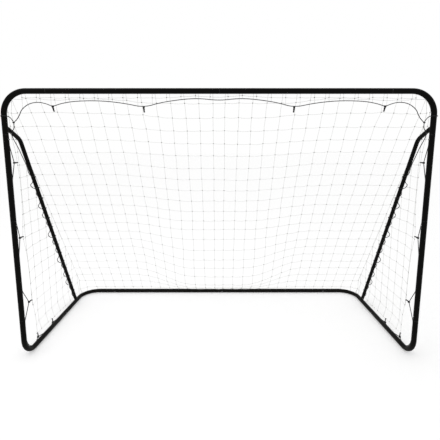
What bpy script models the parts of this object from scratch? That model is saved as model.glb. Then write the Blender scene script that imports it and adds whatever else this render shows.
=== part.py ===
"""Backyard soccer goal: a plug-together steel tube frame, its net, ropes and hooks.

Metres, +X along the crossbar, +Y from the mouth to the back, +Z up.
The origin is on the ground, under the centre of the goal's box.
"""
import math

import bmesh
import bpy
from mathutils import Matrix, Vector

# Outer size of the frame
WIDTH = 3.0
HEIGHT = 2.0
DEPTH = 1.2

# Tubes
TUBE = 0.038
WALL = 0.0012
BRACE_TUBE = 0.030
STUB_PLAY = 0.0007
STUB_REACH = 0.060
SIDES = 16
TOP_BEND = 0.16
BOTTOM_BEND = 0.13
REAR_BEND = 0.16
BRACE_BEND = 0.10
ARC_STEP = math.radians(18)

# Plug joints: the reduced end, its play in the tube round it, and its shoulder
PLUG_LENGTH = 0.070
PLUG_PLAY = 0.0006
SHOULDER = 0.003

# Where the tubes part: bars and rear bar in from the corners, the top seam under the crossbar,
# the bottom seam above the ground, the middle seam and the rail seam as shares of their runs
BAR_SEAM = 0.30
REAR_SEAM = 0.30
TOP_SEAM_DROP = 0.291
BOTTOM_SEAM_HEIGHT = 0.306
MIDDLE_SEAM_SHARE = 0.556
RAIL_SEAM_SHARE = 0.542

# Brace: its top and knee under the crossbar, its foot ahead of the rear bar
BRACE_TOP_DROP = 0.237
BRACE_KNEE_DROP = 0.324
BRACE_KNEE_BACK = 0.164
BRACE_FOOT_AHEAD = 0.238

# Snap buttons
BUTTON_PIN = 0.006
BUTTON_PLAY = 0.0004
BUTTON_PROUD = 0.003
BUTTON_FLANGE = 0.010
BUTTON_FLANGE_THICK = 0.001

# Small turned pieces and the holes drilled for them
TURNED_STEPS = 6
HOLE_SIDES = 10
SMOOTH_UNDER = math.radians(40)

# Brace screws
SCREW_SHANK = 0.004
SCREW_HEAD = 0.009
SCREW_HEAD_THICK = 0.0025
SCREW_SINK = 0.010
SCREW_ALONG_STUB = 0.055

# Net, ropes and hooks
NET_CORD = 0.003
BACK_COLUMNS = 12
BACK_ROWS = 9
SIDE_CELLS = 7
ROPE = 0.006
ROPE_SIDES = 6
HOOK_WIRE = 0.004
HOOK_TAIL = 0.028
HOOK_NECK = 0.006
HOOK_STEP = math.radians(45)
HOOK_RING_STEPS = 7
HOOK_LEAN = 0.35
LACING_TURNS = 7
LACING_STEPS = 8
LACING_SWING = math.radians(80)
LACING_START = 0.08
LACING_END = 0.09
WRAP_DROP = 0.167
WRAP_TURN = math.radians(270)
WRAP_STEP = math.radians(30)

# The border rope under the crossbar, on the right half: share of the half span, drop
CROSSBAR_ROPE_BACK = 0.010
CROSSBAR_ROPE = [
    (0.945, 0.189), (0.931, 0.159), (0.920, 0.121), (0.884, 0.082), (0.841, 0.071), (0.804, 0.082),
    (0.773, 0.102), (0.739, 0.083), (0.671, 0.065), (0.549, 0.062), (0.439, 0.080), (0.350, 0.108),
    (0.272, 0.075), (0.169, 0.053), (0.091, 0.047), (0.0, 0.062),
]
CROSSBAR_HOOKS = [6, 11]

# The lacing rope by the top corner: inward of the upright's axis, back from it, drop
KNOT = (0.057, 0.010, 0.210)
KNOT_REACH = 0.0042
LACING_LEAD = [
    (0.036, 0.003, 0.173), (0.049, 0.007, 0.191), KNOT, (0.050, 0.022, 0.233), (0.034, 0.045, 0.251),
]

# The border rope of each side: its hooks on the upright as back and share of the rope's height,
# those on the rail as back and height
ROPE_INWARD = 0.006
SIDE_ROPE_DROP = 0.326
SIDE_ROPE_AHEAD = 0.064
HOOKS_ON_UPRIGHT = [(0.060, 0.900), (0.050, 0.565), (0.094, 0.248)]
HOOKS_ON_RAIL = [(0.178, 0.068), (0.420, 0.060)]
HOOK_SPAN = 0.12
HOOK_RUN_UP = 0.040
HOOK_PLAY = 0.0006
HOOK_BEND = 0.006
SEAT_BEND = 0.050
ROPE_ARC_STEP = math.radians(45)

# The least gap between pieces that touch
GAP = 0.0003

# Places that follow from the sizes above
TUBE_RADIUS = TUBE / 2
TUBE_CORNER = TUBE_RADIUS / math.cos(math.pi / SIDES)
PLUG_RADIUS = TUBE_CORNER - WALL - PLUG_PLAY
BRACE_RADIUS = BRACE_TUBE / 2
STUB_RADIUS = BRACE_RADIUS - WALL - STUB_PLAY
ROPE_RADIUS = ROPE / 2
WRAP_RADIUS = (TUBE_CORNER + GAP + ROPE_RADIUS) / math.cos(WRAP_STEP / 2)
SIDE_ROPE_SEAT = math.sqrt((TUBE_CORNER + GAP + ROPE_RADIUS) ** 2 - ROPE_INWARD ** 2)
POST_X = WIDTH / 2 - TUBE_RADIUS
BAR_Z = HEIGHT - TUBE_RADIUS
RAIL_Z = TUBE_RADIUS
AXIS_DEPTH = DEPTH - TUBE
FRONT_Y = (WRAP_RADIUS + ROPE_RADIUS * math.cos(math.pi / ROPE_SIDES) - TUBE_RADIUS - AXIS_DEPTH) / 2
REAR_Y = FRONT_Y + AXIS_DEPTH
BAR_SEAM_X = POST_X - BAR_SEAM
REAR_SEAM_X = POST_X - REAR_SEAM
RAIL_SEAM_Y = FRONT_Y + AXIS_DEPTH * RAIL_SEAM_SHARE
TOP_SEAM_Z = BAR_Z - TOP_SEAM_DROP
MIDDLE_SEAM_Z = BOTTOM_SEAM_HEIGHT + (TOP_SEAM_Z - BOTTOM_SEAM_HEIGHT) * MIDDLE_SEAM_SHARE
BRACE_TOP = Vector((POST_X, FRONT_Y, BAR_Z - BRACE_TOP_DROP))
BRACE_KNEE = Vector((POST_X, FRONT_Y + BRACE_KNEE_BACK, BAR_Z - BRACE_KNEE_DROP))
BRACE_FOOT = Vector((POST_X, REAR_Y - BRACE_FOOT_AHEAD, RAIL_Z))
SIDE_ROPE_TOP = BAR_Z - SIDE_ROPE_DROP
SIDE_ROPE_END = AXIS_DEPTH - BRACE_FOOT_AHEAD - SIDE_ROPE_AHEAD

RIGHT = Vector((1, 0, 0))
BACK = Vector((0, 1, 0))
UP = Vector((0, 0, 1))

# Side names and the sign of X on each
HANDS = {"left": -1, "right": 1}

goal = bpy.data.collections.new("soccer_goal")
cutters = bpy.data.collections.new("cutters")


def clear_scene():
    """Remove the objects that Blender starts with."""
    for old in list(bpy.data.objects):
        bpy.data.objects.remove(old)


def make_material(name, colour, roughness, metallic):
    """A plain Principled material."""
    made = bpy.data.materials.new(name)
    made.use_nodes = True
    shader = made.node_tree.nodes["Principled BSDF"]
    shader.inputs["Base Color"].default_value = (*colour, 1)
    shader.inputs["Roughness"].default_value = roughness
    shader.inputs["Metallic"].default_value = metallic
    made.diffuse_color = (*colour, 1)
    return made


FINISHES = {
    "frame": ((0.018, 0.018, 0.019), 0.42, 0.0),
    "button": ((0.62, 0.62, 0.63), 0.30, 1.0),
    "screw": ((0.55, 0.55, 0.56), 0.35, 1.0),
    "net": ((0.86, 0.86, 0.84), 0.85, 0.0),
    "rope": ((0.05, 0.05, 0.055), 0.80, 0.0),
    "hook": ((0.03, 0.03, 0.032), 0.50, 0.0),
}


def finish(thing, kind):
    """Give an object its own material of one kind."""
    thing.data.materials.clear()
    thing.data.materials.append(make_material(thing.name, *FINISHES[kind]))


def mirrored(point, hand):
    """The point on the given side, from its place on the right."""
    return Vector((point[0] * hand, point[1], point[2]))


def bent_path(corners, bend, arc_step=ARC_STEP):
    """A polyline through corners, each rounded to one bend radius or to its own from a list."""
    path = [Vector(corners[0])]
    bends = bend if isinstance(bend, list) else [bend] * (len(corners) - 2)
    for before, corner, after, radius in zip(corners, corners[1:], corners[2:], bends):
        arm_in = (Vector(before) - Vector(corner)).normalized()
        arm_out = (Vector(after) - Vector(corner)).normalized()
        turn = math.pi - arm_in.angle(arm_out)
        centre = Vector(corner) + (arm_in + arm_out).normalized() * radius / math.cos(turn / 2)
        spoke = Vector(corner) + arm_in * radius * math.tan(turn / 2) - centre
        axis = spoke.cross(-arm_in)
        steps = max(2, round(turn / arc_step))
        for step in range(steps + 1):
            path.append(centre + Matrix.Rotation(turn * step / steps, 3, axis) @ spoke)
    path.append(Vector(corners[-1]))
    return path


def sweep(name, path, radius, sides, ends=None, capped=True):
    """A round curve along a path; ends gives a radius for each point where it varies."""
    data = bpy.data.curves.new(name, "CURVE")
    data.dimensions = "3D"
    data.bevel_depth = radius
    data.bevel_resolution = (sides - 4) // 2
    data.use_fill_caps = capped
    data.resolution_u = 1
    data.render_resolution_u = 0
    spline = data.splines.new("POLY")
    spline.points.add(len(path) - 1)
    for index, place in enumerate(path):
        spline.points[index].co = (*place, 1)
        spline.points[index].tilt = math.pi / sides
        spline.points[index].radius = ends[index] / radius if ends else 1
    made = bpy.data.objects.new(name, data)
    goal.objects.link(made)
    return made


def to_mesh(curve):
    """The curve object as a welded mesh object of the same name."""
    bpy.context.view_layer.update()
    name = curve.name
    data = bpy.data.meshes.new_from_object(curve.evaluated_get(bpy.context.evaluated_depsgraph_get()))
    shape = bmesh.new()
    shape.from_mesh(data)
    bmesh.ops.remove_doubles(shape, verts=shape.verts, dist=0.00001)
    shape.to_mesh(data)
    shape.free()
    bpy.data.objects.remove(curve)
    data.name = name
    made = bpy.data.objects.new(name, data)
    goal.objects.link(made)
    return made


def shade_round(thing):
    """Smooth shading that keeps the sharp rims."""
    thing.data.shade_smooth()
    thing.data.set_sharp_from_angle(angle=SMOOTH_UNDER)


def hollow_tube(name, corners, bend, plugs, radius=TUBE_CORNER):
    """A bent hollow tube; plugs says at which ends, first and last, it is reduced to plug in."""
    path = bent_path(corners, bend)
    radii = [radius] * len(path)
    if plugs[1]:
        path, radii = add_plug(path, radii)
    if plugs[0]:
        path, radii = add_plug(path[::-1], radii[::-1])
        path.reverse()
        radii.reverse()
    made = to_mesh(sweep(name, path, radius, SIDES, radii, capped=False))
    shade_round(made)
    shell = made.modifiers.new("wall", "SOLIDIFY")
    shell.thickness = WALL
    shell.offset = -1
    shell.use_even_offset = True
    finish(made, "frame")
    return made


def add_plug(path, radii):
    """Carry the path past its last point, the seam, with a shoulder and a reduced end."""
    seam = path[-1]
    way = (seam - path[-2]).normalized()
    path = path[:-1] + [seam - way * SHOULDER, seam, seam + way * PLUG_LENGTH]
    radii = radii[:-1] + [radii[-1], PLUG_RADIUS, PLUG_RADIUS]
    return path, radii


def rod_along(name, start, way, length, radius, sides):
    """A solid round bar from start along way, as a mesh object."""
    shape = bmesh.new()
    bmesh.ops.create_cone(shape, cap_ends=True, segments=sides,
                          radius1=radius, radius2=radius, depth=length)
    turn = way.to_track_quat("Z", "X").to_matrix().to_4x4()
    bmesh.ops.transform(shape, verts=shape.verts, matrix=Matrix.Translation((0, 0, length / 2)))
    data = bpy.data.meshes.new(name)
    shape.to_mesh(data)
    shape.free()
    made = bpy.data.objects.new(name, data)
    made.matrix_world = Matrix.Translation(start) @ turn
    return made


def as_cutter(thing):
    """Put an object among the cutters."""
    cutters.objects.link(thing)
    thing.hide_render = True
    thing.display_type = "WIRE"
    return thing


def combine(target, tool, operation):
    """Add an exact Boolean to the target."""
    step = target.modifiers.new(tool.name, "BOOLEAN")
    step.operation = operation
    step.solver = "EXACT"
    step.object = tool


def drill(target, name, centre, way, hole_radius, tube_radius):
    """A round hole through the wall on one side of a tube whose axis runs through the centre."""
    start = centre + way * tube_radius / 2
    tool = as_cutter(rod_along(name, start, way, tube_radius, hole_radius, HOLE_SIDES))
    combine(target, tool, "DIFFERENCE")


def weld_stub(target, name, foot, way):
    """Weld a short tube to the target's wall, for the brace to slide over."""
    stub = as_cutter(rod_along(name, foot, way, TUBE_RADIUS + STUB_REACH, STUB_RADIUS, SIDES))
    combine(target, stub, "UNION")
    mouth = foot + way * (TUBE_RADIUS + WALL * 2)
    bore = as_cutter(rod_along(name + "_bore", mouth, way, STUB_REACH, STUB_RADIUS - WALL, SIDES))
    combine(target, bore, "DIFFERENCE")


def clear_bore(target, name, start, end):
    """Open the target's own bore again where a stub was welded through its wall."""
    way = (end - start).normalized()
    inside = TUBE_RADIUS - WALL - GAP
    tool = as_cutter(rod_along(name, start, way, (end - start).length, inside, SIDES))
    combine(target, tool, "DIFFERENCE")


def turned(name, profile, place, outward, kind):
    """A small turned piece from its half outline, radius and height, standing along outward."""
    data = bpy.data.meshes.new(name)
    points = [(radius, 0, height) for radius, height in profile]
    data.from_pydata(points, [(index, index + 1) for index in range(len(points) - 1)], [])
    made = bpy.data.objects.new(name, data)
    goal.objects.link(made)
    lathe = made.modifiers.new("turned", "SCREW")
    lathe.steps = TURNED_STEPS
    lathe.render_steps = TURNED_STEPS
    lathe.use_merge_vertices = True
    lathe.merge_threshold = 0.0001
    lathe.use_smooth_shade = False
    made.matrix_world = Matrix.Translation(place) @ outward.to_track_quat("Z", "X").to_matrix().to_4x4()
    finish(made, kind)


def snap_button(name, place, outward):
    """A domed pin on a flange, in the plug of one joint; place is on the tube's axis."""
    plug_inside = (PLUG_RADIUS - WALL) * math.cos(math.pi / SIDES)
    flange = BUTTON_FLANGE / 2
    flange_top = math.sqrt(plug_inside ** 2 - flange ** 2) - GAP
    flange_bottom = flange_top - BUTTON_FLANGE_THICK
    top = TUBE_RADIUS + BUTTON_PROUD
    pin = BUTTON_PIN / 2
    dome = [(0, top), (pin * 0.7, top - pin * 0.25), (pin, top - pin * 0.7), (pin, flange_top)]
    rim = [(flange, flange_top), (flange, flange_bottom), (0, flange_bottom)]
    turned(name, dome + rim, place, outward, "button")


def plug_joint(name, outer, inner, seam, way, outward):
    """Drill both tubes of one joint and put the snap button in; way points into the outer tube."""
    place = seam + way * (PLUG_LENGTH / 2)
    for tube in (outer, inner):
        drill(tube, f"hole_{name}_{tube.name}", place, outward, BUTTON_PIN / 2 + BUTTON_PLAY, TUBE_RADIUS)
    snap_button(f"snap_button_{name}", place, outward)


def brace_screw(name, brace, stubbed, centre, inward):
    """Fix the brace to its stub with a pan-head screw on the side that faces the other brace."""
    for tube in (brace, stubbed):
        drill(tube, f"hole_{name}_{tube.name}", centre, inward, SCREW_SHANK / 2 + GAP, BRACE_RADIUS)
    seat = BRACE_RADIUS + GAP
    head = SCREW_HEAD / 2
    shank = SCREW_SHANK / 2
    top = seat + SCREW_HEAD_THICK
    pan = [(0, top), (head * 0.6, top), (head, seat + SCREW_HEAD_THICK * 0.4), (head, seat)]
    point = [(shank, seat), (shank, seat - SCREW_SINK * 0.8), (0, seat - SCREW_SINK)]
    turned(name, pan + point, centre, inward, "screw")


def build_side_frame(side):
    """The tubes, buttons and screws of one side."""
    hand = HANDS[side]
    inward = -RIGHT * hand

    def at(x, y, z):
        return mirrored((x, y, z), hand)

    top_corner = hollow_tube(
        f"top_corner_{side}",
        [at(BAR_SEAM_X, FRONT_Y, BAR_Z), at(POST_X, FRONT_Y, BAR_Z), at(POST_X, FRONT_Y, TOP_SEAM_Z)],
        TOP_BEND, (True, True))
    upper = hollow_tube(
        f"upright_upper_{side}",
        [at(POST_X, FRONT_Y, TOP_SEAM_Z - GAP), at(POST_X, FRONT_Y, MIDDLE_SEAM_Z)],
        0, (False, True))
    lower = hollow_tube(
        f"upright_lower_{side}",
        [at(POST_X, FRONT_Y, MIDDLE_SEAM_Z - GAP), at(POST_X, FRONT_Y, BOTTOM_SEAM_HEIGHT + GAP)],
        0, (False, False))
    bottom_corner = hollow_tube(
        f"bottom_corner_{side}",
        [at(POST_X, FRONT_Y, BOTTOM_SEAM_HEIGHT), at(POST_X, FRONT_Y, RAIL_Z),
         at(POST_X, RAIL_SEAM_Y, RAIL_Z)],
        BOTTOM_BEND, (True, True))
    rear_corner = hollow_tube(
        f"rear_corner_{side}",
        [at(POST_X, RAIL_SEAM_Y + GAP, RAIL_Z), at(POST_X, REAR_Y, RAIL_Z),
         at(REAR_SEAM_X, REAR_Y, RAIL_Z)],
        REAR_BEND, (False, True))
    return {"top_corner": top_corner, "upper": upper, "lower": lower,
            "bottom_corner": bottom_corner, "rear_corner": rear_corner, "inward": inward}


def end_clearance(way, axis, radius):
    """How far from a tube's axis another tube's square end must stop to clear its wall."""
    lean = abs(way.dot(axis))
    return (TUBE_CORNER + GAP + radius * lean) / math.sqrt(1 - lean ** 2)


def build_brace(side, frame):
    """The bent brace, the two stubs that hold it, and their screws."""
    hand = HANDS[side]
    top, knee, foot = (mirrored(p, hand) for p in (BRACE_TOP, BRACE_KNEE, BRACE_FOOT))
    down = (knee - top).normalized()
    rise = (knee - foot).normalized()
    reach = TUBE_RADIUS + STUB_RADIUS
    weld_stub(frame["top_corner"], f"stub_top_{side}", top, down)
    clear_bore(frame["top_corner"], f"bore_top_{side}", top - UP * reach, top + UP * reach)
    weld_stub(frame["rear_corner"], f"stub_foot_{side}", foot, rise)
    clear_bore(frame["rear_corner"], f"bore_foot_{side}", foot - BACK * reach, foot + BACK * reach)
    start = top + down * end_clearance(down, UP, BRACE_RADIUS)
    end = foot + rise * end_clearance(rise, BACK, BRACE_RADIUS)
    brace = hollow_tube(f"brace_{side}", [start, knee, end], BRACE_BEND, (False, False), BRACE_RADIUS)
    brace_screw(f"brace_screw_top_{side}", brace, frame["top_corner"],
                top + down * SCREW_ALONG_STUB, frame["inward"])
    brace_screw(f"brace_screw_foot_{side}", brace, frame["rear_corner"],
                foot + rise * SCREW_ALONG_STUB, frame["inward"])


def build_bars():
    """The crossbar and the rear bar, each in two halves that plug together at the middle."""
    bars = {}
    middles = {"crossbar": Vector((0, FRONT_Y, BAR_Z)), "rear_bar": Vector((0, REAR_Y, RAIL_Z))}
    seams = {"crossbar": BAR_SEAM_X, "rear_bar": REAR_SEAM_X}
    for bar, middle in middles.items():
        end = RIGHT * (seams[bar] - GAP)
        left = [middle - end, middle]
        right = [middle + RIGHT * GAP, middle + end]
        bars[bar, "left"] = hollow_tube(f"{bar}_left", left, 0, (False, True))
        bars[bar, "right"] = hollow_tube(f"{bar}_right", right, 0, (False, False))
    return bars


def build_plug_joints(frames, bars):
    """The fourteen drilled joints and their snap buttons."""
    plug_joint("crossbar", bars["crossbar", "right"], bars["crossbar", "left"],
               Vector((0, FRONT_Y, BAR_Z)), RIGHT, BACK)
    plug_joint("rear_bar", bars["rear_bar", "right"], bars["rear_bar", "left"],
               Vector((0, REAR_Y, RAIL_Z)), RIGHT, -BACK)
    for side, frame in frames.items():
        hand = HANDS[side]
        inward = frame["inward"]
        plug_joint(f"crossbar_{side}", bars["crossbar", side], frame["top_corner"],
                   mirrored((BAR_SEAM_X, FRONT_Y, BAR_Z), hand), inward, BACK)
        plug_joint(f"upright_top_{side}", frame["upper"], frame["top_corner"],
                   mirrored((POST_X, FRONT_Y, TOP_SEAM_Z), hand), -UP, inward)
        plug_joint(f"upright_middle_{side}", frame["lower"], frame["upper"],
                   mirrored((POST_X, FRONT_Y, MIDDLE_SEAM_Z), hand), -UP, inward)
        plug_joint(f"upright_bottom_{side}", frame["lower"], frame["bottom_corner"],
                   mirrored((POST_X, FRONT_Y, BOTTOM_SEAM_HEIGHT), hand), UP, inward)
        plug_joint(f"ground_rail_{side}", frame["rear_corner"], frame["bottom_corner"],
                   mirrored((POST_X, RAIL_SEAM_Y, RAIL_Z), hand), BACK, inward)
        plug_joint(f"rear_bar_{side}", bars["rear_bar", side], frame["rear_corner"],
                   mirrored((REAR_SEAM_X, REAR_Y, RAIL_Z), hand), inward, -BACK)


def net_panel(name, columns, rows, place, trims):
    """A flat net on a unit grid, put in place by a matrix and trimmed by planes."""
    shape = bmesh.new()
    bmesh.ops.create_grid(shape, x_segments=columns, y_segments=rows, size=0.5,
                          matrix=Matrix.Translation((0.5, 0.5, 0)))
    for point, normal in trims:
        bmesh.ops.bisect_plane(shape, geom=[*shape.verts, *shape.edges, *shape.faces], dist=0.0001,
                               plane_co=point, plane_no=normal, clear_outer=True)
    bmesh.ops.transform(shape, verts=shape.verts, matrix=place)
    data = bpy.data.meshes.new(name)
    shape.to_mesh(data)
    shape.free()
    made = bpy.data.objects.new(name, data)
    goal.objects.link(made)
    cords = made.modifiers.new("cords", "WIREFRAME")
    cords.thickness = NET_CORD
    cords.offset = 0
    cords.use_boundary = True
    cords.use_replace = True
    cords.use_even_offset = True
    finish(made, "net")


def panel_matrix(corner, across, along):
    """The matrix that takes the unit square to a panel with these two sides."""
    normal = across.cross(along).normalized()
    return Matrix.Translation(corner) @ Matrix((across, along, normal)).transposed().to_4x4()


def corner_cut(column, row, keep):
    """A trim of a unit grid's corner through two of its edge points; keep is a point that stays."""
    a, b = Vector((column[0], column[1], 0)), Vector((row[0], row[1], 0))
    normal = (b - a).cross(Vector((0, 0, 1)))
    if normal.dot(Vector((*keep, 0)) - a) > 0:
        normal.negate()
    return a, normal


def build_net():
    """The back panel from crossbar to rear bar and a triangular panel on each side."""
    slope = Vector((0, AXIS_DEPTH, RAIL_Z - BAR_Z))
    fall = slope.normalized()
    clear = TUBE_CORNER + GAP + NET_CORD / 2
    side_x = POST_X + BRACE_RADIUS + GAP + NET_CORD / 2
    half_width = side_x - NET_CORD - GAP
    start = Vector((-half_width, FRONT_Y, BAR_Z)) + fall * clear
    across = RIGHT * half_width * 2
    along = fall * (slope.length - 2 * clear)
    column, row = 1 / BACK_COLUMNS, 1 / BACK_ROWS
    trims = []
    for x, near in ((0, column), (1, 1 - column)):
        for y, level in ((0, row), (1, 1 - row)):
            trims.append(corner_cut((near, y), (x, level), (0.5, 0.5)))
    net_panel("net_back", BACK_COLUMNS, BACK_ROWS, panel_matrix(start, across, along), trims)

    edge = math.sqrt((TUBE_CORNER + GAP) ** 2 - (BRACE_RADIUS + GAP) ** 2) + NET_CORD / 2
    cell = 1 / SIDE_CELLS
    # The long edge of a side panel stays this far under the back panel
    under = (NET_CORD + GAP) / fall.y
    rise = BAR_Z - RAIL_Z - 2 * edge - under
    run = rise * AXIS_DEPTH / (BAR_Z - RAIL_Z)
    trims = [
        corner_cut((0, 1), (1, 0), (0, 0)),
        corner_cut((0, 1 - cell), (1, 1 - cell), (0, 0)),
        corner_cut((1 - cell, 0), (1 - cell, 1), (0, 0)),
        corner_cut((cell, 0), (0, cell), (0.5, 0.4)),
    ]
    for side, hand in HANDS.items():
        corner = Vector((side_x * hand, FRONT_Y + edge, RAIL_Z + edge))
        net_panel(f"net_side_{side}", SIDE_CELLS, SIDE_CELLS,
                  panel_matrix(corner, BACK * run, UP * rise), trims)


def rope(name, path):
    """A round rope along a path."""
    made = sweep(name, path, ROPE_RADIUS, ROPE_SIDES)
    finish(made, "rope")


def net_hook(name, centre, rope_way, tail_way):
    """An open wire ring round the rope, with a straight tail that holds a mesh of the net."""
    round_rope = (ROPE_RADIUS + HOOK_PLAY + HOOK_WIRE / 2) / math.cos(HOOK_STEP / 2)
    side_way = rope_way.cross(tail_way).normalized()
    path = []
    for step in range(HOOK_RING_STEPS):
        angle = (step + 1) * HOOK_STEP
        path.append(centre + round_rope * (math.cos(angle) * tail_way + math.sin(angle) * side_way))
    path.append(centre + tail_way * (round_rope + HOOK_NECK))
    path.append(centre + tail_way * (round_rope + HOOK_TAIL))
    made = sweep(name, path, HOOK_WIRE / 2, ROPE_SIDES)
    finish(made, "hook")


def by_corner(place):
    """A place by the right top corner, from how far it is inward, back and down."""
    inward, back, drop = place
    return Vector((POST_X - inward, FRONT_Y + back, BAR_Z - drop))


def build_crossbar_rope():
    """The border rope from knot to knot under the crossbar, with its four hooks."""
    rope_y = FRONT_Y + CROSSBAR_ROPE_BACK
    right = [Vector((POST_X * share, rope_y, BAR_Z - drop)) for share, drop in CROSSBAR_ROPE]
    knot = by_corner(KNOT)
    start = knot + (right[0] - knot).normalized() * KNOT_REACH
    left = [mirrored(point, -1) for point in right[:-1]]
    rope("rope_crossbar", [start, *right, *left[::-1], mirrored(start, -1)])
    tail_way = (HOOK_LEAN * BACK - UP).normalized()
    for number, index in enumerate(CROSSBAR_HOOKS):
        for side, hand in HANDS.items():
            name = f"net_hook_crossbar_{number + 1}_{side}"
            net_hook(name, mirrored(right[index], hand), RIGHT, tail_way)


def hooks_on_upright():
    """The places of the hooks on the upright's rope, back and up."""
    return [(back, share * SIDE_ROPE_TOP) for back, share in HOOKS_ON_UPRIGHT]


def side_rope_route():
    """The side's border rope, back and up, with the bend at each corner but the two ends."""
    seat = SIDE_ROPE_SEAT
    route = [(seat, SIDE_ROPE_TOP, SEAT_BEND)]
    for back, height in hooks_on_upright():
        route += [(seat, height + HOOK_SPAN, SEAT_BEND), (back, height, HOOK_BEND),
                  (seat, height - HOOK_SPAN, SEAT_BEND)]
    # The faceted bend of the tube lies this much nearer its centre than a true arc
    sag = BOTTOM_BEND * (1 - math.cos(ARC_STEP / 2)) + GAP
    route.append((seat, RAIL_Z + seat, BOTTOM_BEND - seat + sag / (math.sqrt(2) - 1)))
    for back, height in HOOKS_ON_RAIL:
        route += [(back - HOOK_RUN_UP, RAIL_Z + seat, HOOK_BEND), (back, height, HOOK_BEND),
                  (back + HOOK_SPAN, RAIL_Z + seat, SEAT_BEND)]
    route.append((SIDE_ROPE_END, RAIL_Z + seat, SEAT_BEND))
    return route


def build_side_rope(side):
    """One side's border rope and its five hooks."""
    hand = HANDS[side]
    x = POST_X - ROPE_INWARD
    route = side_rope_route()
    corners = [mirrored((x, FRONT_Y + back, height), hand) for back, height, _ in route]
    bends = [bend for _, _, bend in route[1:-1]]
    rope(f"rope_side_{side}", bent_path(corners, bends, ROPE_ARC_STEP))
    number = 0
    for places, way, tail_way in ((hooks_on_upright(), UP, BACK), (HOOKS_ON_RAIL, BACK, UP)):
        for back, height in places:
            number += 1
            centre = mirrored((x, FRONT_Y + back, height), hand)
            net_hook(f"net_hook_side_{number}_{side}", centre, way, tail_way)


def build_lacing(side):
    """The lacing rope: tied round the upright, knotted, then swung to and fro down the brace."""
    hand = HANDS[side]
    path = []
    for step in range(round(WRAP_TURN / WRAP_STEP) + 1):
        angle = step * WRAP_STEP
        outward = RIGHT * math.sin(angle) + BACK * math.cos(angle)
        path.append(mirrored(by_corner((0, 0, WRAP_DROP)) + outward * WRAP_RADIUS, hand))
    path += [mirrored(by_corner(place), hand) for place in LACING_LEAD]
    line = bent_path([BRACE_TOP, BRACE_KNEE, BRACE_FOOT], BRACE_BEND)
    lengths = [0]
    for a, b in zip(line, line[1:]):
        lengths.append(lengths[-1] + (b - a).length)
    count = LACING_TURNS * LACING_STEPS
    first = LACING_START
    last = lengths[-1] - LACING_END
    swing_step = LACING_SWING * math.sin(2 * math.pi / LACING_STEPS)
    # The faceted knee of the brace stands this much nearer its centre than a true arc
    sag = BRACE_BEND * (1 - math.cos(ARC_STEP / 2))
    around = (BRACE_RADIUS + GAP + ROPE_RADIUS) / math.cos(swing_step / 2) + sag
    for step in range(count + 1):
        along = first + (last - first) * step / count
        span = max(i for i, length in enumerate(lengths[:-1]) if length <= along)
        way = (line[span + 1] - line[span]).normalized()
        centre = line[span] + way * (along - lengths[span])
        ahead = RIGHT.cross(way)
        angle = LACING_SWING * math.sin(2 * math.pi * step / LACING_STEPS)
        place = centre + around * (math.cos(angle) * -RIGHT + math.sin(angle) * ahead)
        path.append(mirrored(place, hand))
    rope(f"rope_lacing_{side}", path)


def main():
    """Build the whole goal."""
    clear_scene()
    for group in (goal, cutters):
        bpy.context.scene.collection.children.link(group)
    frames = {side: build_side_frame(side) for side in HANDS}
    bars = build_bars()
    for side, frame in frames.items():
        build_brace(side, frame)
    build_plug_joints(frames, bars)
    build_net()
    build_crossbar_rope()
    for side in HANDS:
        build_side_rope(side)
        build_lacing(side)


main()
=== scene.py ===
"""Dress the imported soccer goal: coated tubes, knotted net, laid ropes, hooks, buttons and screws.

Metres, +X along the crossbar, +Y from the mouth to the back, +Z up, in the frame of the CAD.
"""

import math

import bmesh
import bpy
from mathutils import Matrix, Vector, noise


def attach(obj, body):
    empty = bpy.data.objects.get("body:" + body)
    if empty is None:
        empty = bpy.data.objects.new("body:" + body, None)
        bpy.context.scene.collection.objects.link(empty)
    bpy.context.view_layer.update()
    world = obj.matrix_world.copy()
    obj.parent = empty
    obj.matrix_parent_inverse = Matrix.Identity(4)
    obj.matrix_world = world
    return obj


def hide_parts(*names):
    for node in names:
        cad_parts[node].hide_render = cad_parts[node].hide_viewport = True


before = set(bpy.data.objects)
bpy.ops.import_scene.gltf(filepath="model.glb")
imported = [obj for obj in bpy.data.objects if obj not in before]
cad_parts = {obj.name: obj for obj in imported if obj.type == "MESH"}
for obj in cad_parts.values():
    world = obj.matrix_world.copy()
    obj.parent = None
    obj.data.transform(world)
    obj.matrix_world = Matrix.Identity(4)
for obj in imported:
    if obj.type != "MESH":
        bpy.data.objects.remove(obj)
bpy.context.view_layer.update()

bl_info = {
    "name": "Soccer goal",
    "version": (1, 0, 0),
    "blender": (4, 5, 0),
    "location": "View3D > Sidebar > Goal",
    "description": "Builds the tubes, net, ropes and fittings of a backyard soccer goal",
    "category": "Object",
}

# The body that everything but the snap buttons belongs to
ROOT = "frame_and_net"

# Outer size of the frame, and its tubes
WIDTH = 3.0
HEIGHT = 2.0
DEPTH = 1.2
TUBE_RADIUS = 0.019
BRACE_RADIUS = 0.015
STUB_RADIUS = 0.0131
STUB_REACH = 0.060
WALL = 0.0012
PLUG_RADIUS = 0.0174
PLUG_LENGTH = 0.070
HALF_PLUG = PLUG_LENGTH / 2
SHOULDER = 0.003
TOP_BEND = 0.16
BOTTOM_BEND = 0.13
REAR_BEND = 0.16
BRACE_BEND = 0.10
GAP = 0.0003
# The lip at a tube's end where its coat is worn
LIP = 0.006
BRACE_LIP = 0.004
# The bead of weld round a stub, and how much and how fast its width ripples
BEAD_RADIUS = 0.0011
BEAD_STEPS = 60
BEAD_RIPPLE = 0.22
BEAD_RIPPLE_TURN = 1.9

# The CAD's tubes have flats, and their corners stand out this far
TUBE_CORNER = TUBE_RADIUS / math.cos(math.pi / 16)

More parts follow.
